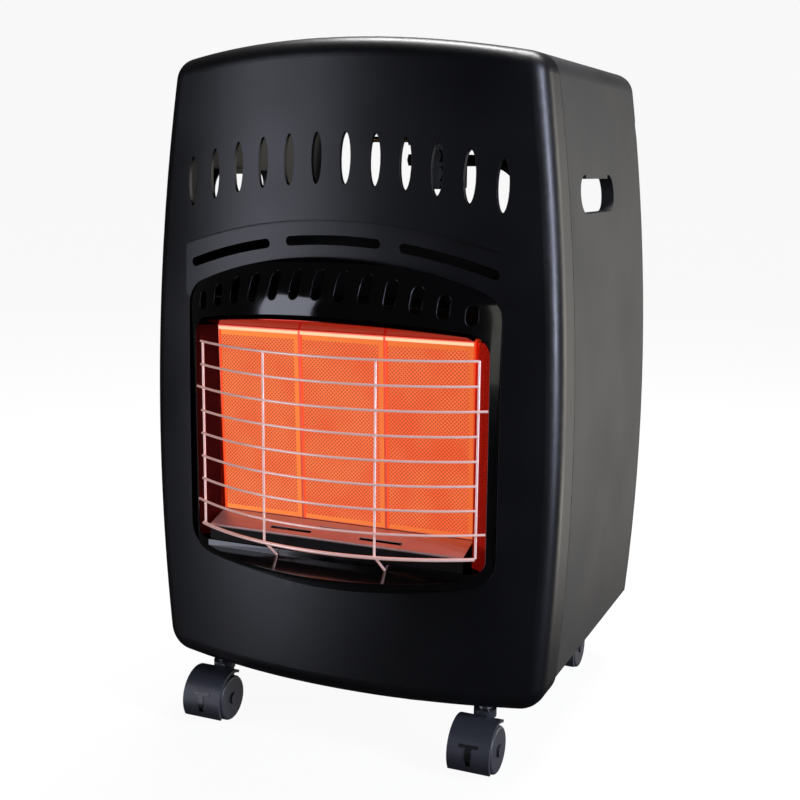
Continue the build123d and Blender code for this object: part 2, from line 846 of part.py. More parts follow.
with BuildPart() as reflector_top:
    add(
        bent_sheet(
            [
                (plaque_head.Y + tray_turn, plaque_head.Z + tray_turn + pan_wall),
                (plaque_head.Y, plaque_head.Z + pan_wall),
                (guard_y, plaque_head.Z + hood_rise),
            ],
            tray_half,
        )
    )
    add(pan_limit(), mode=Mode.INTERSECT)
keep(reflector_top.part, "reflector_top")

for side, side_name in ((-1, "left"), (1, "right")):
    with BuildPart() as reflector_side:
        with BuildSketch(Plane.XY.offset(sill_z)):
            with BuildLine():
                side_line = Polyline(
                    (side * (row_half + pan_wall), burner_y + plaque_thick / 2),
                    (side * (row_half + pan_wall), burner_y - pan_wall),
                    (side * (window_half + pan_wall), bow_y - math.sqrt(pan_r**2 - window_half**2)),
                )
                offset(side_line, amount=pan_wall / 2, side=Side.BOTH)
            make_face()
        extrude(amount=plaque_head.Z - sill_z)
        add(pan_limit(), mode=Mode.INTERSECT)
    keep(reflector_side.part, f"reflector_{side_name}")

# ---------------------------------------------------------------- gas train in the burner bay
manifold_length = 2 * plaque_pitch + 6 * manifold_r
with BuildPart() as gas_manifold:
    with BuildSketch(Plane.YZ.offset(-manifold_length / 2)):
        with Locations((manifold_at.Y, manifold_at.Z)):
            RectangleRounded(2 * manifold_r, 2 * manifold_r, manifold_r / 4)
            Circle(manifold_r / 2, mode=Mode.SUBTRACT)
    extrude(amount=manifold_length)
    with BuildSketch(Plane.YZ.offset(-manifold_length / 2)):
        with Locations((manifold_at.Y, manifold_at.Z)):
            Circle(manifold_r / 2)
    extrude(amount=manifold_r)
keep(gas_manifold.part, "gas_manifold")

mixer_mouth = burner_plane.from_local_coords(Vector(0, head_foot - mixer_drop, mixer_z))
with BuildPart() as gas_nozzles:
    with BuildSketch(Plane.XY.offset(manifold_at.Z + manifold_r)):
        with Locations((0, manifold_at.Y)):
            with GridLocations(plaque_pitch, 0, 3, 1):
                RegularPolygon(nozzle_r, 6)
    extrude(amount=nozzle_r)
    with BuildSketch(Plane.XY.offset(manifold_at.Z + manifold_r)):
        with Locations((0, manifold_at.Y)):
            with GridLocations(plaque_pitch, 0, 3, 1):
                Circle(nozzle_r / 2)
    extrude(amount=mixer_mouth.Z - manifold_at.Z - manifold_r - nozzle_clear)
keep(gas_nozzles.part, "gas_nozzles")

with BuildPart() as manifold_brackets:
    for x in (-plaque_pitch / 2, plaque_pitch / 2):
        with BuildSketch(Plane.YZ.offset(x)):
            with BuildLine():
                Polyline(
                    (manifold_at.Y - manifold_r, manifold_at.Z - manifold_r - bracket_wall),
                    (partition_y - sheet - bracket_wall, manifold_at.Z - manifold_r - bracket_wall),
                    (partition_y - sheet - bracket_wall, manifold_at.Z - manifold_r - bracket_foot),
                    (partition_y - sheet, manifold_at.Z - manifold_r - bracket_foot),
                    (partition_y - sheet, manifold_at.Z - manifold_r),
                    (manifold_at.Y - manifold_r, manifold_at.Z - manifold_r),
                    close=True,
                )
            make_face()
        extrude(amount=bracket_foot / 2, both=True)
keep(manifold_brackets.part, "manifold_brackets")

# ---------------------------------------------------------------- pilot
pilot_y = (tray_front_y + plaque_foot.Y) / 2 + pilot_shift
pilot_top_z = tray_front_z - 2 * tray_turn
pilot_plate_z = pilot_top_z - pilot_plate_drop
pilot_x = plaque_pitch / 2
pilot_bits = (
    ("pilot_burner", pilot_x - pilot_pitch, 4.0, 24.0),
    ("thermocouple", pilot_x, 2.4, 30.0),
    ("spark_electrode", pilot_x + pilot_pitch, 3.0, 22.0),
)
with BuildPart() as pilot_bracket:
    with BuildSketch(Plane.XY.offset(pilot_plate_z)):
        with Locations((pilot_x, pilot_y)):
            Rectangle(pilot_pitch * 3.4, pilot_plate_depth)
            Rectangle(pilot_pitch * 2, partition_y - sheet - pilot_y, align=(Align.CENTER, Align.MIN))
    extrude(amount=bracket_wall)
    with BuildSketch(Plane.XY.offset(pilot_plate_z)):
        with Locations((pilot_x, partition_y - sheet - bracket_wall / 2)):
            Rectangle(2 * pilot_pitch, bracket_wall)
    extrude(amount=-bracket_foot)
    with BuildSketch(Plane.XY.offset(pilot_plate_z)):
        for _, x, r, _ in pilot_bits:
            with Locations((x, pilot_y)):
                Circle(r)
    extrude(amount=bracket_wall, mode=Mode.SUBTRACT)
keep(pilot_bracket.part, "pilot_bracket")

for label, x, r, tail in pilot_bits:
    with BuildPart() as pilot_bit:
        with Locations((x, pilot_y, pilot_plate_z - tail / 2)):
            Cylinder(r, tail / 2 + pilot_plate_drop, align=(Align.CENTER, Align.CENTER, Align.MIN))
        with Locations((x, pilot_y, pilot_plate_z)):
            Cylinder(r * 1.6, bracket_wall * 2, align=(Align.CENTER, Align.CENTER, Align.MAX))
        fillet(pilot_bit.edges().group_by(Axis.Z)[-1], r / 3)
    keep(pilot_bit.part, label)


def pipe(points, radius, bends):
    """Round pipe along straight runs joined by arcs; prints how tight its bends are."""
    with BuildPart() as run:
        with BuildLine() as path:
            FilletPolyline(*points, radius=bends)
        with BuildSketch(Plane(origin=path.wire() @ 0, z_dir=path.wire() % 0)):
            Circle(radius)
        sweep()
    section_volume = math.pi * radius**2 * path.wire().length
    print("pipe radii", bends, "volume over section times length", round(run.part.volume / section_volume, 4))
    return run.part


# ---------------------------------------------------------------- control well
well_under = well_floor_z - sheet
with BuildPart() as control_well:
    with BuildSketch(Plane.XY.offset(well_under)):
        with Locations((well_x, well_y)):
            RectangleRounded(well_size[0] + 2 * sheet, well_size[1] + 2 * sheet, well_corner + sheet)
    extrude(amount=crown_z)
    fillet(control_well.edges().group_by(Axis.Z)[0], well_corner / 2 + sheet)
    add(cabinet_block(sheet, skirt_z), mode=Mode.INTERSECT)
    add(well_hole.part, mode=Mode.SUBTRACT)
    with Locations((knob_x, well_y, well_floor_z)):
        Hole(stem_r + running_gap)
    with Locations((button_x, well_y, well_floor_z)):
        Hole(button_sleeve_r)
keep(control_well.part, "control_well")

# ---------------------------------------------------------------- gas valve and knob
valve_foot_z = valve_top_z - valve_size[2]
with BuildPart() as gas_valve:
    with BuildSketch(Plane.XY.offset(valve_foot_z)):
        with Locations((knob_x, well_y)):
            RectangleRounded(valve_size[0], valve_size[1], 5)
    extrude(amount=valve_size[2])
    fillet(gas_valve.edges().group_by(Axis.Z)[0], 3)
    valve_face = well_y - valve_size[1] / 2
    with BuildSketch(at_depth(valve_face)):
        for x_share, z_share, boss_r in valve_bosses:
            with Locations((knob_x + x_share * valve_size[0], valve_foot_z + z_share * valve_size[2])):
                Circle(boss_r)
    extrude(amount=valve_boss)
    with BuildSketch(Plane.YZ.offset(knob_x)):
        with Locations((well_y, inlet_z), (well_y, outlet_z)):
            RegularPolygon(union_r, 6)
    extrude(amount=valve_size[0] / 2 + union_length, both=True)
    with BuildSketch(Plane.XY.offset(valve_top_z - stem_depth)):
        with Locations((knob_x, well_y)):
            Circle(stem_r + running_gap)
    extrude(amount=2 * stem_depth, mode=Mode.SUBTRACT)
keep(gas_valve.part, "gas_valve")

with BuildPart() as valve_bracket:
    for side, plate_foot_z in ((-1, valve_top_z - bracket_lap), (1, valve_foot_z + bracket_lap)):
        plate_y = well_y + side * valve_size[1] / 2
        with BuildSketch(Plane.YZ.offset(knob_x)):
            with BuildLine():
                Polyline(
                    (plate_y, plate_foot_z),
                    (plate_y, well_under),
                    (plate_y + side * bracket_foot, well_under),
                    (plate_y + side * bracket_foot, well_under - bracket_wall),
                    (plate_y + side * bracket_wall, well_under - bracket_wall),
                    (plate_y + side * bracket_wall, plate_foot_z),
                    close=True,
                )
            make_face()
        extrude(amount=valve_size[0] / 3, both=True)
keep(valve_bracket.part, "valve_bracket")

seat_z = well_under - bracket_foot - seat_height
with BuildPart() as stem_spring:
    with BuildSketch(Plane.XY.offset(valve_top_z)):
        with Locations((knob_x, well_y)):
            Circle(seat_r - 1)
            Circle(stem_r + 3 * running_gap, mode=Mode.SUBTRACT)
    extrude(amount=seat_z - valve_top_z)
keep(stem_spring.part, "stem_spring")

with BuildPart() as spring_seat:
    with BuildSketch(Plane.XY.offset(seat_z)):
        with Locations((knob_x, well_y)):
            Circle(seat_r)
            Circle(stem_r + running_gap, mode=Mode.SUBTRACT)
    extrude(amount=seat_height)
keep(spring_seat.part, "spring_seat")

knob_z = well_floor_z + knob_lift
with BuildPart() as valve_stem:
    with Locations((knob_x, well_y, valve_top_z - stem_depth + knob_lift)):
        Cylinder(
            stem_r,
            knob_z + knob_height - knob_roof - valve_top_z + stem_depth - knob_lift,
            align=(Align.CENTER, Align.CENTER, Align.MIN),
        )
keep(valve_stem.part, "valve_stem")

with BuildPart() as control_knob:
    with BuildSketch(Plane.XY.offset(knob_z)):
        with Locations((knob_x, well_y)):
            Circle(knob_r)
    extrude(amount=knob_skirt)
    with BuildSketch(Plane.XY.offset(knob_z + knob_skirt)):
        with Locations((knob_x, well_y)):
            Circle(knob_r * 0.8)
    extrude(amount=knob_height - knob_skirt)
    with BuildSketch(Plane.XY.offset(knob_z + knob_skirt)):
        for side in (-1, 1):
            with Locations((knob_x + side * knob_r, well_y)):
                Rectangle(2 * knob_r - knob_grip, 2 * knob_r)
    extrude(amount=knob_height, mode=Mode.SUBTRACT)
    fillet(control_knob.edges().group_by(Axis.Z)[-1], 1.0)
    with BuildSketch(Plane.XY.offset(knob_z)):
        with Locations((knob_x, well_y)):
            Circle(stem_r)
    extrude(amount=knob_height - knob_roof, mode=Mode.SUBTRACT)
keep(control_knob.part, "control_knob")

# ---------------------------------------------------------------- igniter
with BuildPart() as igniter_body:
    with BuildSketch(Plane.XY.offset(well_under - igniter_length)):
        with Locations((button_x, well_y)):
            Circle(igniter_r)
    extrude(amount=igniter_length)
    with BuildSketch(Plane.XY.offset(well_under)):
        with Locations((button_x, well_y)):
            Circle(button_sleeve_r)
    extrude(amount=sheet)
    with BuildSketch(Plane.XY.offset(well_floor_z)):
        with Locations((button_x, well_y)):
            Circle(igniter_r)
    extrude(amount=button_bezel)
    with BuildSketch(Plane.XY.offset(well_under - igniter_length / 2)):
        with Locations((button_x, well_y)):
            Circle(button_r + running_gap)
    extrude(amount=igniter_length, mode=Mode.SUBTRACT)
keep(igniter_body.part, "igniter_body")

plunger_foot_z = well_under - igniter_length / 2 + button_travel + body_gap
button_top_z = well_floor_z + button_bezel + button_travel + body_gap
with BuildPart() as igniter_button:
    with BuildSketch(Plane.XY.offset(plunger_foot_z)):
        with Locations((button_x, well_y)):
            Circle(button_r)
    extrude(amount=button_top_z + button_show - plunger_foot_z)
    fillet(igniter_button.edges().group_by(Axis.Z)[-1], 1.2)
keep(igniter_button.part, "igniter_button")

# ---------------------------------------------------------------- pipes and hose
pipe_y = manifold_at.Y + manifold_r
pipe_back_y = partition_y + pipe_stand_off
burner_pipe_path = [
    (knob_x - valve_size[0] / 2 - union_length, well_y, outlet_z),
    (burner_pipe_x, well_y, outlet_z),
    (burner_pipe_x, pipe_back_y, outlet_z - pipe_fall),
    (burner_pipe_x, pipe_back_y, manifold_at.Z),
    (burner_pipe_x, pipe_y, manifold_at.Z),
]
keep(pipe(burner_pipe_path, tube_r, [pipe_bend] * 3), "burner_pipe")

hose_start = Vector(knob_x + valve_size[0] / 2 + union_length, well_y, inlet_z)
hose_wall_x = half_width - hose_from_wall
hose_path = [
    hose_start,
    hose_start + Vector(34, 0, 0),
    hose_start + Vector(72, 6, -34),
    Vector(hose_wall_x - 6, well_y + 42, inlet_z - 84),
    Vector(hose_wall_x, well_y + 78, inlet_z - 140),
    Vector(hose_wall_x, regulator_y, inlet_z - 196),
    Vector(hose_wall_x, regulator_y, regulator_z + regulator_r + hose_tail),
]


def open_bends(points):
    """Largest round bends that the runs leave room for."""
    bends = []
    for before, here, after in zip(points, points[1:], points[2:]):
        first = here - before
        second = after - here
        half_turn = math.radians(first.get_angle(second)) / 2
        bends.append(0.45 * min(first.length, second.length) / math.tan(half_turn))
    return bends


keep(pipe(hose_path, hose_r, open_bends(hose_path)), "gas_hose")

with BuildPart() as gas_regulator:
    with BuildSketch(Plane.YZ.offset(hose_wall_x - regulator_thick / 2)):
        with Locations((regulator_y, regulator_z)):
            Circle(regulator_r)
    extrude(amount=regulator_thick)
    fillet(gas_regulator.edges(), 4)
    with BuildSketch(Plane.XY.offset(regulator_z)):
        with Locations((hose_wall_x, regulator_y)):
            Circle(hose_r * 0.9)
    extrude(amount=regulator_r + hose_tail)
    with BuildSketch(Plane.XY.offset(regulator_z - regulator_r - regulator_neck)):
        with Locations((hose_wall_x, regulator_y)):
            Circle(inlet_r)
    extrude(amount=regulator_r + regulator_neck)
keep(gas_regulator.part, "gas_regulator")

nut_foot_z = regulator_z - regulator_r - regulator_neck
with BuildPart() as cylinder_nut:
    with BuildSketch(Plane.XY.offset(nut_foot_z)):
        with Locations((hose_wall_x, regulator_y)):
            Circle(nut_r)
            Circle(inlet_r + running_gap, mode=Mode.SUBTRACT)
    extrude(amount=regulator_neck - body_gap)
    for turn in range(nut_lobes):
        angle = 360 / nut_lobes * turn
        spot = Vector(nut_r + nut_groove / 2, 0).rotate(Axis.Z, angle)
        with Locations((hose_wall_x + spot.X, regulator_y + spot.Y, nut_foot_z)):
            Cylinder(
                nut_groove,
                regulator_neck,
                align=(Align.CENTER, Align.CENTER, Align.MIN),
                mode=Mode.SUBTRACT,
            )
keep(cylinder_nut.part, "cylinder_nut")

with BuildPart() as regulator_hook:
    with BuildSketch(at_depth(regulator_y + hook_width / 2)):
        with Locations((hose_wall_x + regulator_thick / 2, regulator_z)):
            Rectangle(half_width, bracket_wall * 2, align=(Align.MIN, Align.CENTER))
    extrude(amount=hook_width)
    with BuildSketch(at_depth(regulator_y + hook_width / 2)):
        with Locations((hose_wall_x + regulator_thick / 2, regulator_z + regulator_r / 2)):
            Rectangle(bracket_wall, regulator_r, align=(Align.MIN, Align.CENTER))
    extrude(amount=hook_width)
    add(cabinet_block(sheet, skirt_z), mode=Mode.INTERSECT)
keep(regulator_hook.part, "regulator_hook")

with BuildPart() as hose_clips:
    for clip_z in (regulator_z + regulator_r + hose_tail + clip_gap, clip_top_z):
        with BuildSketch(Plane.XY.offset(clip_z)):
            with Locations((hose_wall_x, regulator_y)):
                Rectangle(half_width, 2 * bracket_wall, align=(Align.MIN, Align.CENTER))
                Circle(hose_r + bracket_wall)
                Circle(hose_r, mode=Mode.SUBTRACT)
        extrude(amount=hook_width)
    add(cabinet_block(sheet, skirt_z), mode=Mode.INTERSECT)
keep(hose_clips.part, "hose_clips")

# ---------------------------------------------------------------- rear cover
cover_plane_y = rear_y + body_gap
cover_half = half_width - rear_round - body_gap - cover_margin
cover_foot = body_z + cover_margin
cover_rise = cover_bulge - body_gap


def cover_form(inset):
    """Bowed cover, drawn in by inset."""
    half = cover_half - inset
    rise = cover_rise - inset
    edge = cover_edge if inset == 0 else cover_edge - inset
    with BuildPart() as form:
        with BuildSketch(Plane.XY.offset(cover_foot + inset)):
            with BuildLine():
                ThreePointArc(
                    (-half, cover_plane_y + edge),
                    (0, cover_plane_y + rise),
                    (half, cover_plane_y + edge),
                )
                Polyline(
                    (half, cover_plane_y + edge),
                    (half, cover_plane_y - inset),
                    (-half, cover_plane_y - inset),
                    (-half, cover_plane_y + edge),
                )
            make_face()
        extrude(amount=cover_top - cover_foot - 2 * inset)
    return form.part


with BuildPart() as rear_cover:
    add(cover_form(0))
    fillet(rear_cover.faces().sort_by(Axis.Y)[-1].edges(), cover_edge / 2)
    add(cover_form(sheet), mode=Mode.SUBTRACT)
    with BuildSketch(at_depth(cover_plane_y)):
        with Locations((0, louvre_low), (0, louvre_high)):
            with GridLocations(louvre_pitch_x, louvre_pitch_z, louvre_columns, louvre_rows):
                SlotOverall(louvre_length, louvre_height)
    extrude(amount=-2 * cover_bulge, mode=Mode.SUBTRACT)
    with BuildSketch(at_depth(cover_plane_y)):
        with Locations((0, cover_top - cover_grip_drop)):
            SlotOverall(cover_grip, cover_grip_height)
    extrude(amount=-2 * cover_bulge, mode=Mode.SUBTRACT)
    for x in (-cover_hook_x, cover_hook_x):
        with BuildSketch(Plane.YZ.offset(x - hook_width / 2)):
            with BuildLine():
                Polyline(
                    (cover_plane_y, rim_foot + cover_hook + sheet + body_gap),
                    (rear_y - 2 * sheet - 2 * body_gap, rim_foot + cover_hook + sheet + body_gap),
                    (rear_y - 2 * sheet - 2 * body_gap, rim_foot - cover_hook),
                    (rear_y - sheet - body_gap, rim_foot - cover_hook),
                    (rear_y - sheet - body_gap, rim_foot + body_gap),
                    (cover_plane_y, rim_foot + body_gap),
                    (cover_plane_y, cover_foot),
                    (cover_plane_y + sheet, cover_foot),
                    (cover_plane_y + sheet, rim_foot + cover_hook + sheet + body_gap),
                    close=True,
                )
            make_face()
        extrude(amount=hook_width)
keep(rear_cover.part, "rear_cover")


# ---------------------------------------------------------------- casters
def yz_plane(x):
    """Side-view sketch plane at x."""
    return Plane.YZ.offset(x)


pin_foot_z = wheel_r + axle_r + pin_clear
king_top_z = floor_z + nut_height

collar_foot_z = hood_top_z + collar_gap
stem_steps = (
    (king_r, pin_foot_z, collar_foot_z),
    (collar_r, collar_foot_z, body_z),
    (king_thread_r, body_z, king_top_z + thread_show),
)
with BuildPart() as caster_stems:
    for _, _, x, y in caster_spots:
        for step_r, low, high in stem_steps:
            with Locations((x, y, low)):
                Cylinder(step_r, high - low, align=(Align.CENTER, Align.CENTER, Align.MIN))
keep(caster_stems.part, "caster_stems")

with BuildPart() as caster_nuts:
    for _, _, x, y in caster_spots:
        with BuildSketch(Plane.XY.offset(floor_z)):
            with Locations((x, y)):
                RegularPolygon(king_thread_r * 1.7, 6)
                Circle(king_thread_r, mode=Mode.SUBTRACT)
        extrude(amount=nut_height)
keep(caster_nuts.part, "caster_nuts")

for name_y, name_x, x, y in caster_spots:
    label = f"caster_{name_y}_{name_x}"
    axle_y = y - caster_trail
    hood_half = wheel_track + wheel_width / 2
    cover_from = math.radians(hood_from)
    cover_to = math.radians(hood_to)
    with BuildPart() as hood:
        with BuildSketch(yz_plane(x - hood_half)):
            with Locations((axle_y, wheel_r)):
                Circle(hood_r)
                Circle(hood_r - hood_wall, mode=Mode.SUBTRACT)
            with BuildLine():
                Polyline(
                    (axle_y, wheel_r),
                    (axle_y - 2 * hood_r, wheel_r - 2 * hood_r * math.tan(cover_from)),
                    (axle_y - 2 * hood_r, -2 * hood_r),
                    (axle_y + 4 * hood_r, -2 * hood_r),
                    (axle_y + 2 * hood_r, wheel_r + 2 * hood_r * math.tan(cover_to)),
                    close=True,
                )
            make_face(mode=Mode.SUBTRACT)
        extrude(amount=2 * hood_half)
        with BuildSketch(yz_plane(x - web_half)):
            with Locations((axle_y, wheel_r)):
                Circle(hood_r - hood_wall / 2)
            with Locations((y - 1, (wheel_r + hood_top_z) / 2)):
                RectangleRounded(2 * socket_r - 2, hood_top_z - wheel_r, 3)
            with Locations((axle_y, -hood_r + web_lift)):
                Rectangle(4 * hood_r, 2 * hood_r, mode=Mode.SUBTRACT)
        extrude(amount=2 * web_half)
        with Locations((x, y, hood_top_z)):
            Cylinder(socket_r, hood_top_z - socket_z, align=(Align.CENTER, Align.CENTER, Align.MAX))
        with BuildSketch(yz_plane(x - hood_half - axle_head)):
            with Locations((axle_y, wheel_r)):
                Circle(axle_r)
        extrude(amount=2 * hood_half + 2 * axle_head)
        for side in (-1, 1):
            with BuildSketch(yz_plane(x + side * (hood_half + body_gap))):
                with Locations((axle_y, wheel_r)):
                    Circle(axle_r * 1.6)
            extrude(amount=side * axle_head)
        with BuildSketch(at_depth(axle_y - hood_r)):
            with Locations((x, wheel_r - hood_mark)):
                Rectangle(hood_mark, hood_mark)
        extrude(amount=-hood_wall * 1.6, mode=Mode.SUBTRACT)
        with Locations((x, y, hood_top_z)):
            Cylinder(
                king_r + running_gap,
                hood_top_z - pin_foot_z + body_gap,
                align=(Align.CENTER, Align.CENTER, Align.MAX),
                mode=Mode.SUBTRACT,
            )
    keep(hood.part, f"{label}_hood")
    for side, wheel_name in ((-1, "left"), (1, "right")):
        with BuildPart() as wheel:
            with BuildSketch(yz_plane(x + side * wheel_track - wheel_width / 2)):
                with Locations((axle_y, wheel_r)):
                    Circle(wheel_r)
            extrude(amount=wheel_width)
            fillet(wheel.edges(), wheel_edge)
            with BuildSketch(yz_plane(x + side * wheel_track - wheel_width / 2)):
                with Locations((axle_y, wheel_r)):
                    Circle(axle_r + running_gap)
            extrude(amount=wheel_width, mode=Mode.SUBTRACT)
        keep(wheel.part, f"{label}_{wheel_name}_wheel")
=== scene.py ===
import json
import math

import bmesh
import bpy
from mathutils import Matrix, Vector


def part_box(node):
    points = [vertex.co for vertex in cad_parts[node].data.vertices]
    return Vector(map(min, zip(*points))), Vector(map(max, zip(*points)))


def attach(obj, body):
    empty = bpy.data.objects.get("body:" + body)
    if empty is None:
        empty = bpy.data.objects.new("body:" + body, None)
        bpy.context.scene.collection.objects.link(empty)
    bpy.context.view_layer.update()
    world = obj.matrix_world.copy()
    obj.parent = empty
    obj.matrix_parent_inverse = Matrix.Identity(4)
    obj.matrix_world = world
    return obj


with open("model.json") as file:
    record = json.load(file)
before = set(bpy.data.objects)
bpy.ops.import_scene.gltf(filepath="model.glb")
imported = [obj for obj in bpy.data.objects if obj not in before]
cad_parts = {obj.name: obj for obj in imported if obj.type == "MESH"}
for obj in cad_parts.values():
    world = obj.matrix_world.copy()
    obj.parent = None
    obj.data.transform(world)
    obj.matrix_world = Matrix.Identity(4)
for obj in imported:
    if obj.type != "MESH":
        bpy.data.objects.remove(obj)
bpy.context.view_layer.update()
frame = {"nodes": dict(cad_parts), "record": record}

MM = 0.001


# ---------------------------------------------------------------- small helpers
def linear(hex_colour):
    """The linear colour of an sRGB hex value."""
    shares = [int(hex_colour[i:i + 2], 16) / 255 for i in (1, 3, 5)]
    return (*[s / 12.92 if s <= 0.04045 else ((s + 0.055) / 1.055) ** 2.4 for s in shares], 1.0)


def per_mm(size_mm):
    """Texture scale that gives features of this size in millimetres."""
    return 1 / (size_mm * MM)


def add_node(tree, kind, settings=None, links=None):
    """Adds a node with its settings, by property or input, and its links by input."""
    node = tree.nodes.new(kind)
    for key, value in (settings or {}).items():
        if isinstance(key, str) and hasattr(node, key):
            setattr(node, key, value)
        else:
            node.inputs[key].default_value = value
    for key, socket in (links or {}).items():
        tree.links.new(socket, node.inputs[key])
    return node


def new_finish(name):
    """An empty material and its tree."""
    finish = bpy.data.materials.new(name)
    finish.use_nodes = True
    finish.node_tree.nodes.clear()
    return finish, finish.node_tree


# ---------------------------------------------------------------- finishes
NOISE_LOW = 0.35           # most of a plain noise texture's values lie between these
NOISE_HIGH = 0.65
STREAK_LOW = 0.3           # and most of a detailed one's between these
STREAK_HIGH = 0.7
STREAK_SHARE = 0.03        # a rolling streak is this share as wide as it is long
DRIFT_MM = 120             # a sprayed coat's sheen drifts over about a hand's width
FLOW_MM = 34               # fired enamel wavers over this
FLOW_DEPTH = 0.1 * MM
HEAT_MM = 45               # heat tints metal in patches of this size
CLOUD_MM = 22              # moulded pieces are a little uneven in tone
GRIT_MM = 0.8              # grain of a dipped or cast skin
GRIT_DEPTH = 0.02 * MM
EDGE_MM = 0.5              # paint rounds a cut sheet edge by about this much
SEAM_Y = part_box("front_panel")[1].y
SEAM_HALF = 0.5 * MM       # real joint is 0.3 mm wide in all, drawn wider to show
# painted shade in the gap at the joint between front and side sheets
SEAM_SHADE_BLACK = "#020202"
SHADE_EDGE = 1.0 * MM       # painted shade ends within this much above and below its level
SHADE_BLACK = "#0a0605"


def powder_coat(name, dark, light, smooth, rough, peel_mm, peel_depth_mm):
    """Powder coat baked on sheet steel.

    It gives fine orange peel, a soft sheen that drifts, light caught by cut edges,
    and a dark line of painted shade in the gap where the front sheet meets the side ones.
    """
    finish, tree = new_finish(name)
    place = add_node(tree, "ShaderNodeTexCoord").outputs["Object"]
    drift = add_node(tree, "ShaderNodeTexNoise", {"Scale": per_mm(DRIFT_MM)}, {"Vector": place})
    sheen = add_node(
        tree,
        "ShaderNodeMapRange",
        {"From Min": NOISE_LOW, "From Max": NOISE_HIGH, "To Min": smooth, "To Max": rough},
        {"Value": drift.outputs["Fac"]},
    )
    tone = add_node(
        tree,
        "ShaderNodeMix",
        {"data_type": "RGBA", 6: linear(dark), 7: linear(light)},
        {0: drift.outputs["Fac"]},
    )
    axes = add_node(tree, "ShaderNodeSeparateXYZ", None, {"Vector": place})
    behind = add_node(
        tree, "ShaderNodeMath", {"operation": "SUBTRACT", 1: SEAM_Y}, {0: axes.outputs["Y"]}
    )
    away = add_node(tree, "ShaderNodeMath", {"operation": "ABSOLUTE"}, {0: behind.outputs[0]})
    off_seam = add_node(
        tree,
        "ShaderNodeMapRange",
        {"From Min": SEAM_HALF, "From Max": 2 * SEAM_HALF},
        {"Value": away.outputs[0]},
    )
    # painted shade: the gap at the joint drawn as a near-black line
    seam_shaded = add_node(
        tree,
        "ShaderNodeMix",
        {"data_type": "RGBA", 6: linear(SEAM_SHADE_BLACK)},
        {0: off_seam.outputs[0], 7: tone.outputs[2]},
    )
    in_seam = add_node(
        tree, "ShaderNodeMath", {"operation": "SUBTRACT", 0: 1.0}, {1: off_seam.outputs[0]}
    )
    dulled = add_node(
        tree, "ShaderNodeMath", {"operation": "MAXIMUM"}, {0: sheen.outputs[0], 1: in_seam.outputs[0]}
    )
    peel = add_node(tree, "ShaderNodeTexNoise", {"Scale": per_mm(peel_mm)}, {"Vector": place})
    edge = add_node(tree, "ShaderNodeBevel", {"samples": 6, "Radius": EDGE_MM * MM})
    skin = add_node(
        tree,
        "ShaderNodeBump",
        {"Distance": peel_depth_mm * MM},
        {"Height": peel.outputs["Fac"], "Normal": edge.outputs[0]},
    )
    surface = add_node(
        tree,
        "ShaderNodeBsdfPrincipled",
        {"IOR": 1.5},
        {
            "Base Color": seam_shaded.outputs[2],
            "Roughness": dulled.outputs[0],
            "Normal": skin.outputs[0],
        },
    )
    add_node(tree, "ShaderNodeOutputMaterial", None, {"Surface": surface.outputs[0]})
    return finish


def fired_enamel(name, colour, smooth, rough):
    """Vitreous enamel fired on steel: a deep gloss that wavers and runs thick over edges."""
    finish, tree = new_finish(name)
    place = add_node(tree, "ShaderNodeTexCoord").outputs["Object"]
    flow = add_node(tree, "ShaderNodeTexNoise", {"Scale": per_mm(FLOW_MM)}, {"Vector": place})
    gloss = add_node(
        tree,
        "ShaderNodeMapRange",
        {"From Min": NOISE_LOW, "From Max": NOISE_HIGH, "To Min": smooth, "To Max": rough},
        {"Value": flow.outputs["Fac"]},
    )
    edge = add_node(tree, "ShaderNodeBevel", {"samples": 8, "Radius": 2 * EDGE_MM * MM})
    wave = add_node(
        tree,
        "ShaderNodeBump",
        {"Strength": 0.5, "Distance": FLOW_DEPTH},
        {"Height": flow.outputs["Fac"], "Normal": edge.outputs[0]},
    )
    surface = add_node(
        tree,
        "ShaderNodeBsdfPrincipled",
        {
            "Base Color": linear(colour),
            "IOR": 1.52,
            "Coat Weight": 0.6,
            "Coat Roughness": 0.04,
        },
        {"Roughness": gloss.outputs[0], "Normal": wave.outputs[0]},
    )
    add_node(tree, "ShaderNodeOutputMaterial", None, {"Surface": surface.outputs[0]})
    return finish


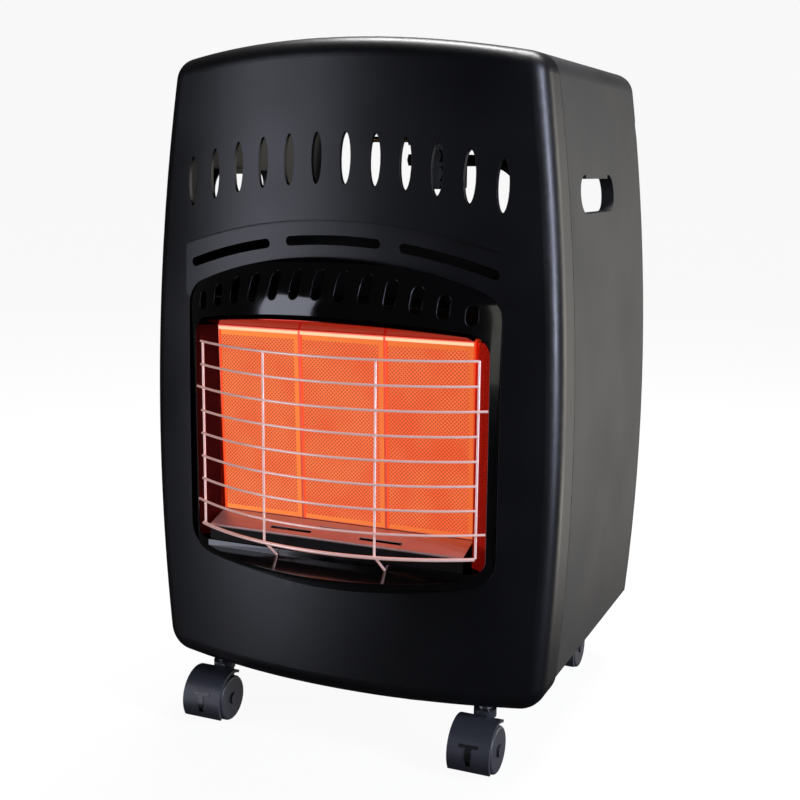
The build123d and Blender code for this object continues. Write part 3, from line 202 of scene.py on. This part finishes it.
def drawn_metal(
    name,
    first,
    second,
    smooth,
    rough,
    along,
    streak_mm,
    depth_mm,
    metallic=1.0,
    graze="#ffffff",
    glow=("#000000", 0.0),
    shade_below=None,
):
    """Rolled or drawn metal: streaks along one axis and patches of heat tint.

    Graze tints what it mirrors at a low angle. A glow is a colour and a strength, a painted
    glow. It can be painted dark below a level, as painted shade.
    """
    finish, tree = new_finish(name)
    place = add_node(tree, "ShaderNodeTexCoord").outputs["Object"]
    stretch = [1.0, 1.0, 1.0]
    stretch[along] = STREAK_SHARE
    streaked = add_node(tree, "ShaderNodeMapping", {"Scale": stretch}, {"Vector": place})
    streaks = add_node(
        tree,
        "ShaderNodeTexNoise",
        {"Scale": per_mm(streak_mm), "Detail": 3.0},
        {"Vector": streaked.outputs[0]},
    )
    heat = add_node(tree, "ShaderNodeTexNoise", {"Scale": per_mm(HEAT_MM)}, {"Vector": place})
    tint = add_node(
        tree,
        "ShaderNodeMix",
        {"data_type": "RGBA", 6: linear(first), 7: linear(second)},
        {0: heat.outputs["Fac"]},
    )
    sheen = add_node(
        tree,
        "ShaderNodeMapRange",
        {"From Min": STREAK_LOW, "From Max": STREAK_HIGH, "To Min": smooth, "To Max": rough},
        {"Value": streaks.outputs["Fac"]},
    )
    ridges = add_node(
        tree, "ShaderNodeBump", {"Distance": depth_mm * MM}, {"Height": streaks.outputs["Fac"]}
    )
    colour = tint.outputs[2]
    # painted shade: darkens everything below the level
    if shade_below is not None:
        axes = add_node(tree, "ShaderNodeSeparateXYZ", None, {"Vector": place})
        unshaded = add_node(
            tree,
            "ShaderNodeMapRange",
            {"From Min": shade_below - SHADE_EDGE, "From Max": shade_below + SHADE_EDGE},
            {"Value": axes.outputs["Z"]},
        )
        shaded = add_node(
            tree,
            "ShaderNodeMix",
            {"data_type": "RGBA", 6: linear(SHADE_BLACK)},
            {0: unshaded.outputs[0], 7: colour},
        )
        colour = shaded.outputs[2]
    surface = add_node(
        tree,
        "ShaderNodeBsdfPrincipled",
        {
            "Metallic": metallic,
            "Specular Tint": linear(graze),
            "Emission Color": linear(glow[0]),
            "Emission Strength": glow[1],
        },
        {"Base Color": colour, "Roughness": sheen.outputs[0], "Normal": ridges.outputs[0]},
    )
    add_node(tree, "ShaderNodeOutputMaterial", None, {"Surface": surface.outputs[0]})
    return finish


def spangled_metal(name, first, second, smooth, rough, spangle_mm):
    """Zinc or aluminium dipped steel, or cast alloy: crystals that differ a little in tone."""
    finish, tree = new_finish(name)
    place = add_node(tree, "ShaderNodeTexCoord").outputs["Object"]
    crystals = add_node(
        tree, "ShaderNodeTexVoronoi", {"Scale": per_mm(spangle_mm)}, {"Vector": place}
    )
    tone = add_node(
        tree,
        "ShaderNodeMix",
        {"data_type": "RGBA", 6: linear(first), 7: linear(second)},
        {0: crystals.outputs["Color"]},
    )
    sheen = add_node(
        tree,
        "ShaderNodeMapRange",
        {"To Min": smooth, "To Max": rough},
        {"Value": crystals.outputs["Color"]},
    )
    grit = add_node(tree, "ShaderNodeTexNoise", {"Scale": per_mm(GRIT_MM)}, {"Vector": place})
    skin = add_node(tree, "ShaderNodeBump", {"Distance": GRIT_DEPTH}, {"Height": grit.outputs["Fac"]})
    surface = add_node(
        tree,
        "ShaderNodeBsdfPrincipled",
        {"Metallic": 1.0},
        {"Base Color": tone.outputs[2], "Roughness": sheen.outputs[0], "Normal": skin.outputs[0]},
    )
    add_node(tree, "ShaderNodeOutputMaterial", None, {"Surface": surface.outputs[0]})
    return finish


def moulded(name, dark, light, smooth, rough, grain_mm, depth_mm, ior=1.5):
    """Moulded plastic, rubber, fibre or clay, also used for painted shade: one tone with a fine
    grain.
    """
    finish, tree = new_finish(name)
    place = add_node(tree, "ShaderNodeTexCoord").outputs["Object"]
    cloud = add_node(tree, "ShaderNodeTexNoise", {"Scale": per_mm(CLOUD_MM)}, {"Vector": place})
    tone = add_node(
        tree,
        "ShaderNodeMix",
        {"data_type": "RGBA", 6: linear(dark), 7: linear(light)},
        {0: cloud.outputs["Fac"]},
    )
    grain = add_node(tree, "ShaderNodeTexNoise", {"Scale": per_mm(grain_mm)}, {"Vector": place})
    sheen = add_node(
        tree,
        "ShaderNodeMapRange",
        {"From Min": NOISE_LOW, "From Max": NOISE_HIGH, "To Min": smooth, "To Max": rough},
        {"Value": grain.outputs["Fac"]},
    )
    skin = add_node(
        tree, "ShaderNodeBump", {"Distance": depth_mm * MM}, {"Height": grain.outputs["Fac"]}
    )
    surface = add_node(
        tree,
        "ShaderNodeBsdfPrincipled",
        {"IOR": ior},
        {"Base Color": tone.outputs[2], "Roughness": sheen.outputs[0], "Normal": skin.outputs[0]},
    )
    add_node(tree, "ShaderNodeOutputMaterial", None, {"Surface": surface.outputs[0]})
    return finish


plaque_low, plaque_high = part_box("plaque_middle")
next_low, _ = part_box("plaque_right")
PLAQUE_PITCH = next_low.x - plaque_low.x
PLAQUE_HALF = (plaque_high.x - plaque_low.x) / 2
PLAIN_EDGE = 4.5 * MM      # border without holes
PLAIN_LEFT = 2.6 * MM      # narrower beside the hot seam
PLAIN_HEAD = 9.0 * MM      # and along the top
HIGHLIGHT_HEAD = 3.6 * MM      # painted highlight: a near-white strip standing in for the lit edge along the top
HOLE_PITCH = 2.9           # real holes lie 1.9 mm apart, drawn wider to show
HOLE_CORE = 0.22           # a hole is darkest within this many pitches of its middle
HOLE_RIM = 0.44            # and ends at this many
HOLE_DEPTH = 0.3 * MM      # depth that the relief gives a hole's mouth
YELLOW_X = -150 * MM       # the glow reddens from here, at the far left,
RED_X = 150 * MM           # to here, at the far right,
RED_SHARE = 0.55           # by this share of the way to its red
BLOTCH_MM = 40             # the flame burns in patches of about this size
BLOTCH_COOL = -0.2         # that move the share by as little
BLOTCH_HOT = 0.3           # and as much as this
FACE_YELLOW = "#fb7f4a"    # between the holes
FACE_RED = "#f4552c"
HOLE_RED = "#b5421f"
BORDER_YELLOW = "#ff8d40"  # where there are no holes
BORDER_RED = "#d03a1e"
LEFT_RED = "#fb5020"       # border beside the hot seam
HEAD_HIGHLIGHT = "#ffd9ae"
CLAY_BROWN = "#54291c"     # colour of the clay itself


def glowing_ceramic():
    """Pressed cordierite alight: rows of dark holes in an orange face.

    Face and plain borders redden to the right. Each plaque's left border has a red of its own,
    and a near-white strip along its head is a painted highlight for the lit edge above it.
    """
    finish, tree = new_finish("glowing_cordierite")
    place = add_node(tree, "ShaderNodeTexCoord").outputs["Object"]
    axes = add_node(tree, "ShaderNodeSeparateXYZ", None, {"Vector": place})

    turn = (math.radians(90), 0, 0)
    lattice = add_node(
        tree,
        "ShaderNodeMapping",
        {"vector_type": "TEXTURE", "Rotation": turn, "Scale": (HOLE_PITCH * MM,) * 3},
        {"Vector": place},
    )
    diagonal = add_node(
        tree,
        "ShaderNodeMapping",
        {"Rotation": (0, 0, math.radians(45))},
        {"Vector": lattice.outputs[0]},
    )
    cells = add_node(
        tree,
        "ShaderNodeTexVoronoi",
        {"voronoi_dimensions": "2D", "Scale": 1.0, "Randomness": 0.0},
        {"Vector": diagonal.outputs[0]},
    )
    holes = add_node(
        tree,
        "ShaderNodeMapRange",
        {"From Min": HOLE_CORE, "From Max": HOLE_RIM, "To Min": 1.0, "To Max": 0.0},
        {"Value": cells.outputs["Distance"]},
    )

    turns = add_node(
        tree,
        "ShaderNodeMath",
        {"operation": "MULTIPLY_ADD", 1: 1 / PLAQUE_PITCH, 2: 0.5},
        {0: axes.outputs["X"]},
    )
    share = add_node(tree, "ShaderNodeMath", {"operation": "FRACT"}, {0: turns.outputs[0]})
    across = add_node(
        tree, "ShaderNodeMath", {"operation": "SUBTRACT", 1: 0.5}, {0: share.outputs[0]}
    )
    right_edge = (PLAQUE_HALF - PLAIN_EDGE) / PLAQUE_PITCH
    left_edge = (PLAIN_LEFT - PLAQUE_HALF) / PLAQUE_PITCH
    not_right = add_node(
        tree, "ShaderNodeMath", {"operation": "LESS_THAN", 1: right_edge}, {0: across.outputs[0]}
    )
    not_left = add_node(
        tree, "ShaderNodeMath", {"operation": "GREATER_THAN", 1: left_edge}, {0: across.outputs[0]}
    )
    below_head = add_node(
        tree,
        "ShaderNodeMath",
        {"operation": "LESS_THAN", 1: plaque_high.z - PLAIN_HEAD},
        {0: axes.outputs["Z"]},
    )
    above_foot = add_node(
        tree,
        "ShaderNodeMath",
        {"operation": "GREATER_THAN", 1: plaque_low.z + PLAIN_EDGE},
        {0: axes.outputs["Z"]},
    )
    inside = not_right
    for limit in (not_left, below_head, above_foot):
        inside = add_node(
            tree,
            "ShaderNodeMath",
            {"operation": "MULTIPLY"},
            {0: inside.outputs[0], 1: limit.outputs[0]},
        )

    slope = add_node(
        tree,
        "ShaderNodeMapRange",
        {"From Min": YELLOW_X, "From Max": RED_X, "To Max": RED_SHARE},
        {"Value": axes.outputs["X"]},
    )
    cloud = add_node(tree, "ShaderNodeTexNoise", {"Scale": per_mm(BLOTCH_MM)}, {"Vector": place})
    blotch = add_node(
        tree,
        "ShaderNodeMapRange",
        {
            "From Min": NOISE_LOW,
            "From Max": NOISE_HIGH,
            "To Min": BLOTCH_COOL,
            "To Max": BLOTCH_HOT,
        },
        {"Value": cloud.outputs["Fac"]},
    )
    heat = add_node(
        tree,
        "ShaderNodeMath",
        {"operation": "ADD", "use_clamp": True},
        {0: slope.outputs[0], 1: blotch.outputs[0]},
    )
    face = add_node(
        tree,
        "ShaderNodeMix",
        {"data_type": "RGBA", 6: linear(FACE_YELLOW), 7: linear(FACE_RED)},
        {0: heat.outputs[0]},
    )
    holed = add_node(
        tree,
        "ShaderNodeMix",
        {"data_type": "RGBA", 7: linear(HOLE_RED)},
        {0: holes.outputs[0], 6: face.outputs[2]},
    )
    plain = add_node(
        tree,
        "ShaderNodeMix",
        {"data_type": "RGBA", 6: linear(BORDER_YELLOW), 7: linear(BORDER_RED)},
        {0: slope.outputs[0]},
    )
    border = add_node(
        tree,
        "ShaderNodeMix",
        {"data_type": "RGBA", 6: linear(LEFT_RED)},
        {0: not_left.outputs[0], 7: plain.outputs[2]},
    )
    body = add_node(
        tree,
        "ShaderNodeMix",
        {"data_type": "RGBA"},
        {0: inside.outputs[0], 6: border.outputs[2], 7: holed.outputs[2]},
    )
    # painted highlight: near-white strip along each plaque's head
    highlight_band = add_node(
        tree,
        "ShaderNodeMath",
        {"operation": "GREATER_THAN", 1: plaque_high.z - HIGHLIGHT_HEAD},
        {0: axes.outputs["Z"]},
    )
    glow = add_node(
        tree,
        "ShaderNodeMix",
        {"data_type": "RGBA", 7: linear(HEAD_HIGHLIGHT)},
        {0: highlight_band.outputs[0], 6: body.outputs[2]},
    )
    pits = add_node(
        tree, "ShaderNodeBump", {"Distance": HOLE_DEPTH}, {"Height": cells.outputs["Distance"]}
    )
    surface = add_node(
        tree,
        "ShaderNodeBsdfPrincipled",
        {"Base Color": linear(CLAY_BROWN), "Roughness": 0.9, "Emission Strength": 1.0},
        {"Emission Color": glow.outputs[2], "Normal": pits.outputs[0]},
    )
    add_node(tree, "ShaderNodeOutputMaterial", None, {"Surface": surface.outputs[0]})
    return finish


def hot_rim():
    """Aluminised steel round the plaques: it glows where it touches them and is grey behind."""
    finish, tree = new_finish("hot_aluminised_rim")
    place = add_node(tree, "ShaderNodeTexCoord").outputs["Object"]
    axes = add_node(tree, "ShaderNodeSeparateXYZ", None, {"Vector": place})
    glow = add_node(
        tree,
        "ShaderNodeMapRange",
        {"From Min": plaque_low.y, "From Max": plaque_high.y, "To Min": 0.9, "To Max": 0.0},
        {"Value": axes.outputs["Y"]},
    )
    surface = add_node(
        tree,
        "ShaderNodeBsdfPrincipled",
        {
            "Base Color": linear("#7d7c7b"),
            "Metallic": 1.0,
            "Roughness": 0.5,
            "Emission Color": linear("#fb4418"),
        },
        {"Emission Strength": glow.outputs[0]},
    )
    add_node(tree, "ShaderNodeOutputMaterial", None, {"Surface": surface.outputs[0]})
    return finish


ACROSS = 0                 # streaks run along X
UPRIGHT = 2                # streaks run along Z

finishes = {
    # satin coat: broad soft highlights on near black
    "front_paint": powder_coat(
        "satin_black_powder_coat",
        "#08080a",
        "#0c0c0f",
        smooth=0.33,
        rough=0.4,
        peel_mm=1.6,
        peel_depth_mm=0.012,
    ),
    # matte coat: an even charcoal with almost no highlight
    "side_paint": powder_coat(
        "matte_charcoal_powder_coat",
        "#1b1b1a",
        "#222221",
        smooth=0.5,
        rough=0.58,
        peel_mm=1.4,
        peel_depth_mm=0.03,
    ),
    # deep black glass: it mirrors the lights almost sharply
    "gloss_enamel": fired_enamel("black_enamel", "#040405", smooth=0.07, rough=0.15),
    # bright wire with a faint painted glow standing in for the burners' light on it
    "chrome_wire": drawn_metal(
        "chromed_wire",
        "#fff2ec",
        "#fbe2d8",
        smooth=0.3,
        rough=0.42,
        along=ACROSS,
        streak_mm=1.2,
        depth_mm=0.01,
        metallic=0.45,
        glow=("#ffb09a", 0.22),
    ),
    # alight, so its own colour hardly shows
    "glowing_ceramic": glowing_ceramic(),
    # pale grey with a faint spangle
    "zinc_steel": spangled_metal(
        "zinc_plated_steel", "#b4b7ba", "#c6c8c9", smooth=0.28, rough=0.42, spangle_mm=3.0
    ),
    # soft felted fibre: no shine at all
    "gasket_fibre": moulded(
        "ceramic_fibre", "#d8d2c4", "#c6bfae", smooth=0.9, rough=1.0, grain_mm=0.9, depth_mm=0.2
    ),
    # warm yellow with a soft turned sheen
    "brass": spangled_metal(
        "turned_brass", "#b98f4c", "#c9a15a", smooth=0.22, rough=0.36, spangle_mm=4.0
    ),
    # glazed: a wet shine over cream
    "insulator": moulded(
        "glazed_alumina",
        "#e6dfd0",
        "#efe9dd",
        smooth=0.08,
        rough=0.16,
        grain_mm=3.0,
        depth_mm=0.01,
        ior=1.7,
    ),
    # mid grey, nearly dull
    "die_cast": spangled_metal(
        "die_cast_zinc", "#8b8e91", "#9b9ea0", smooth=0.42, rough=0.56, spangle_mm=1.5
    ),
    # black that hardly shines
    "hose_rubber": moulded(
        "nitrile_rubber",
        "#121212",
        "#1a1a19",
        smooth=0.6,
        rough=0.75,
        grain_mm=0.8,
        depth_mm=0.05,
        ior=1.52,
    ),
    # fine spark-eroded grain: a dull sheen that greys the black
    "caster_plastic": moulded(
        "black_nylon",
        "#303137",
        "#3a3b43",
        smooth=0.36,
        rough=0.5,
        grain_mm=1.0,
        depth_mm=0.03,
        ior=1.53,
    ),
    # polished mould: a deep black with a clear highlight
    "knob_plastic": moulded(
        "black_abs",
        "#08080a",
        "#0c0c0e",
        smooth=0.24,
        rough=0.34,
        grain_mm=1.0,
        depth_mm=0.015,
        ior=1.54,
    ),
    # the same polish over a strong red
    "button_plastic": moulded(
        "red_abs",
        "#a5130c",
        "#b81b12",
        smooth=0.2,
        rough=0.3,
        grain_mm=1.0,
        depth_mm=0.01,
        ior=1.54,
    ),
}

TRAY_FLANGE = 19.0 * MM    # height of the tray's front flange
tray_low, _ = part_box("reflector_tray")
# glows where the plaques heat it
rim = hot_rim()
# painted shade: near-black sheets, so that nothing shows behind the slots
scale = moulded(
    "painted_shade_black", "#0b0a0a", "#12100f", smooth=0.6, rough=0.75, grain_mm=1.2, depth_mm=0.02
)
# pieces finished apart from their slot: heat tint and glow from the burners, and painted light and
# shade
marked = {
    # dulled pinkish by heat, with painted shade making its front flange black
    "reflector_tray": drawn_metal(
        "heat_dulled_stainless",
        "#dcc0b8",
        "#bd9a91",
        smooth=0.4,
        rough=0.52,
        along=ACROSS,
        streak_mm=4.0,
        depth_mm=0.02,
        metallic=0.75,
        shade_below=tray_low.z + TRAY_FLANGE,
    ),
    # bright sheet: its red colour and the red tint on what it mirrors are a painted reflection of the
    # burners
    "reflector_top": drawn_metal(
        "painted_reflection_hood",
        "#b03a32",
        "#8c2a26",
        smooth=0.12,
        rough=0.24,
        along=ACROSS,
        streak_mm=3.0,
        depth_mm=0.02,
        graze="#c03a30",
    ),
    # near black with a red cast and a faint glow: painted shade and a painted reflection of the
    # burners
    "reflector_left": drawn_metal(
        "painted_shade_wall",
        "#5a2020",
        "#481616",
        smooth=0.34,
        rough=0.44,
        along=UPRIGHT,
        streak_mm=3.0,
        depth_mm=0.02,
        glow=("#ff2410", 0.012),
    ),
    # bright sheet: its red colour, red-tinted mirroring and faint glow are painted light from the
    # burners
    "reflector_right": drawn_metal(
        "painted_light_wall",
        "#d8503e",
        "#b83a2e",
        smooth=0.18,
        rough=0.28,
        along=UPRIGHT,
        streak_mm=3.0,
        depth_mm=0.02,
        graze="#e04030",
        glow=("#ff2410", 0.1),
    ),
    "heat_shield": scale,
    "partition": scale,
    "burner_head_left": rim,
    "burner_head_middle": rim,
    "burner_head_right": rim,
}

for part in frame["record"]["subparts"]:
    solid = frame["nodes"][part["node"]]
    finish = marked.get(part["node"]) or finishes[part["material_slot"]]
    if not solid.material_slots:
        solid.data.materials.append(finish)
    for slot in solid.material_slots:
        slot.material = finish


# ---------------------------------------------------------------- new pieces
WELD = 0.001 * MM          # corners nearer than this are one
SHARP_DEGREES = 35         # edges turned by more than this stay sharp


def finish_piece(shape, name, body, slot):
    """Makes a finished shape an object that rides on a body."""
    bmesh.ops.remove_doubles(shape, verts=shape.verts, dist=WELD)
    bmesh.ops.recalc_face_normals(shape, faces=shape.faces)
    mesh = bpy.data.meshes.new(name)
    shape.to_mesh(mesh)
    shape.free()
    mesh.materials.append(finishes[slot])
    mesh.shade_smooth()
    mesh.set_sharp_from_angle(angle=math.radians(SHARP_DEGREES))
    piece = bpy.data.objects.new(name, mesh)
    bpy.context.collection.objects.link(piece)
    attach(piece, body)


MARK_INNER_R = 31.0 * MM   # the mark starts just under the hood's skin
MARK_OUTER_R = 32.1 * MM
MARK_STEPS = 8             # facets along a bar, so that it bends with the hood
MARK_BARS = (              # half-width, then from and to in degrees above the axle
    (10.0 * MM, 20.0, 26.0),
    (3.2 * MM, -4.0, 20.0),
)


def caster_mark(body, axle):
    """Raised T moulded on the front of a caster hood, bent round its axle."""
    shape = bmesh.new()
    for half, start, end in MARK_BARS:
        low = math.radians(start)
        corners = []
        for side, radius in (
            (-half, MARK_INNER_R),
            (half, MARK_INNER_R),
            (half, MARK_OUTER_R),
            (-half, MARK_OUTER_R),
        ):
            spot = Vector((side, -radius * math.cos(low), radius * math.sin(low)))
            corners.append(shape.verts.new(axle + spot))
        face = shape.faces.new(corners)
        bmesh.ops.spin(
            shape,
            geom=[face],
            cent=axle,
            axis=(-1, 0, 0),
            angle=math.radians(end - start),
            steps=MARK_STEPS,
        )
    finish_piece(shape, f"{body}_mark", body, "knob_plastic")


casters = [name.removesuffix("_hood") for name in frame["nodes"] if name.endswith("_hood")]
for caster in casters:
    hood_low, hood_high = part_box(f"{caster}_hood")
    wheel_low, wheel_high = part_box(f"{caster}_left_wheel")
    middle = (wheel_low + wheel_high) / 2
    caster_mark(caster, Vector(((hood_low.x + hood_high.x) / 2, middle.y, middle.z)))


# ---------------------------------------------------------------- stage
FLOOR_RADIUS = 14.0
DOME_RADIUS = 13.5         # inside the floor's edge, so no gap shows
FLOOR_DROP = 0.3 * MM      # keeps the floor clear of the wheels' lowest points
PAPER_GLOW = 0.94          # the paper's own brightness, just short of white
SKY_GLOW = 0.02


def stage_piece(shape, name, colour):
    """Part of the studio that the camera sees and the heater doesn't reflect."""
    mesh = bpy.data.meshes.new(name)
    shape.to_mesh(mesh)
    shape.free()
    paper, tree = new_finish(name)
    surface = add_node(
        tree,
        "ShaderNodeBsdfPrincipled",
        {
            "Base Color": linear(colour),
            "Roughness": 0.9,
            "Specular IOR Level": 0.0,
            "Emission Color": linear("#ffffff"),
            "Emission Strength": PAPER_GLOW,
        },
    )
    add_node(tree, "ShaderNodeOutputMaterial", None, {"Surface": surface.outputs[0]})
    mesh.materials.append(paper)
    piece = bpy.data.objects.new(name, mesh)
    piece.visible_glossy = False
    piece.visible_diffuse = False
    bpy.context.collection.objects.link(piece)
    return piece


floor_shape = bmesh.new()
bmesh.ops.create_circle(floor_shape, cap_ends=True, segments=96, radius=FLOOR_RADIUS)
floor = stage_piece(floor_shape, "floor", "#505050")
floor.location.z = -FLOOR_DROP
floor.visible_shadow = False

dome_shape = bmesh.new()
bmesh.ops.create_uvsphere(dome_shape, u_segments=48, v_segments=24, radius=DOME_RADIUS)
backdrop = stage_piece(dome_shape, "backdrop", "#000000")
backdrop.visible_shadow = False
backdrop.visible_transmission = False

sky = bpy.data.worlds.new("studio")
sky.use_nodes = True
sky.node_tree.nodes["Background"].inputs["Color"].default_value = (1.0, 1.0, 1.0, 1.0)
sky.node_tree.nodes["Background"].inputs["Strength"].default_value = SKY_GLOW
bpy.context.scene.world = sky


# ---------------------------------------------------------------- light and camera
def from_angle(turn_degrees, rise_degrees):
    """Direction from the heater, turned to the right from straight ahead and raised from level."""
    turn, rise = math.radians(turn_degrees), math.radians(rise_degrees)
    reach = math.cos(rise)
    return Vector((math.sin(turn) * reach, -math.cos(turn) * reach, math.sin(rise)))


def soft_box(name, turn, rise, distance, aim_z, size, power, colour):
    """Soft studio light, its angles in degrees, aimed at a height on the heater's middle."""
    lamp = bpy.data.lights.new(name, "AREA")
    lamp.shape = "RECTANGLE"
    lamp.size, lamp.size_y = size
    lamp.energy = power
    lamp.color = linear(colour)[:3]
    target = Vector((0, 0, aim_z))
    place = target + from_angle(turn, rise) * distance
    box = bpy.data.objects.new(name, lamp)
    aim = (target - place).to_track_quat("-Z", "Y").to_matrix().to_4x4()
    box.matrix_world = Matrix.Translation(place) @ aim
    bpy.context.collection.objects.link(box)


# is mirrored in the left half of the bowed front
soft_box(
    "key_light",
    turn=-38,
    rise=2,
    distance=2.3,
    aim_z=0.35,
    size=(1.0, 2.2),
    power=20,
    colour="#e9ecff",
)
# draws the bright upright line on the front's right roll
soft_box(
    "roll_strip",
    turn=74,
    rise=12,
    distance=2.0,
    aim_z=0.45,
    size=(0.2, 1.7),
    power=44,
    colour="#dfe6ff",
)
# greys the right frame of the enamelled surround
soft_box(
    "frame_strip",
    turn=50,
    rise=8,
    distance=2.2,
    aim_z=0.4,
    size=(0.2, 1.3),
    power=0.8,
    colour="#eef0e4",
)
# lights the matte side evenly
soft_box(
    "side_light",
    turn=138,
    rise=-2,
    distance=2.2,
    aim_z=0.35,
    size=(1.2, 1.8),
    power=16,
    colour="#fffaf2",
)
# stands behind, for the top edge, the visor and the tops of the wires
soft_box(
    "top_light",
    turn=180,
    rise=72,
    distance=2.2,
    aim_z=0.5,
    size=(1.9, 0.5),
    power=80,
    colour="#ffffff",
)

# as fitted to the photograph: the bearing of the view in degrees, and its place in metres
VIEW_TURN = 23.170
VIEW_DOWN = 10.452
VIEW_ROLL = 0.612
VIEW_PLACE = (0.5617, -1.3286, 0.6149)
SENSOR_MM = 36.0
LENS_MM = 56.92

camera_data = bpy.data.cameras.new("camera")
camera_data.sensor_width = SENSOR_MM
camera_data.lens = LENS_MM
camera = bpy.data.objects.new("camera", camera_data)
turn, down, roll = (math.radians(angle) for angle in (VIEW_TURN, VIEW_DOWN, VIEW_ROLL))
reach = math.cos(down)
ahead = Vector((-math.sin(turn) * reach, math.cos(turn) * reach, -math.sin(down)))
level = Vector((math.cos(turn), math.sin(turn), 0))
upright = level.cross(ahead)
right = level * math.cos(roll) + upright * math.sin(roll)
upward = upright * math.cos(roll) - level * math.sin(roll)
stance = Matrix((right, upward, -ahead)).transposed().to_4x4()
camera.matrix_world = Matrix.Translation(VIEW_PLACE) @ stance
bpy.context.collection.objects.link(camera)
bpy.context.scene.camera = camera
bpy.context.scene.view_settings.view_transform = "Standard"
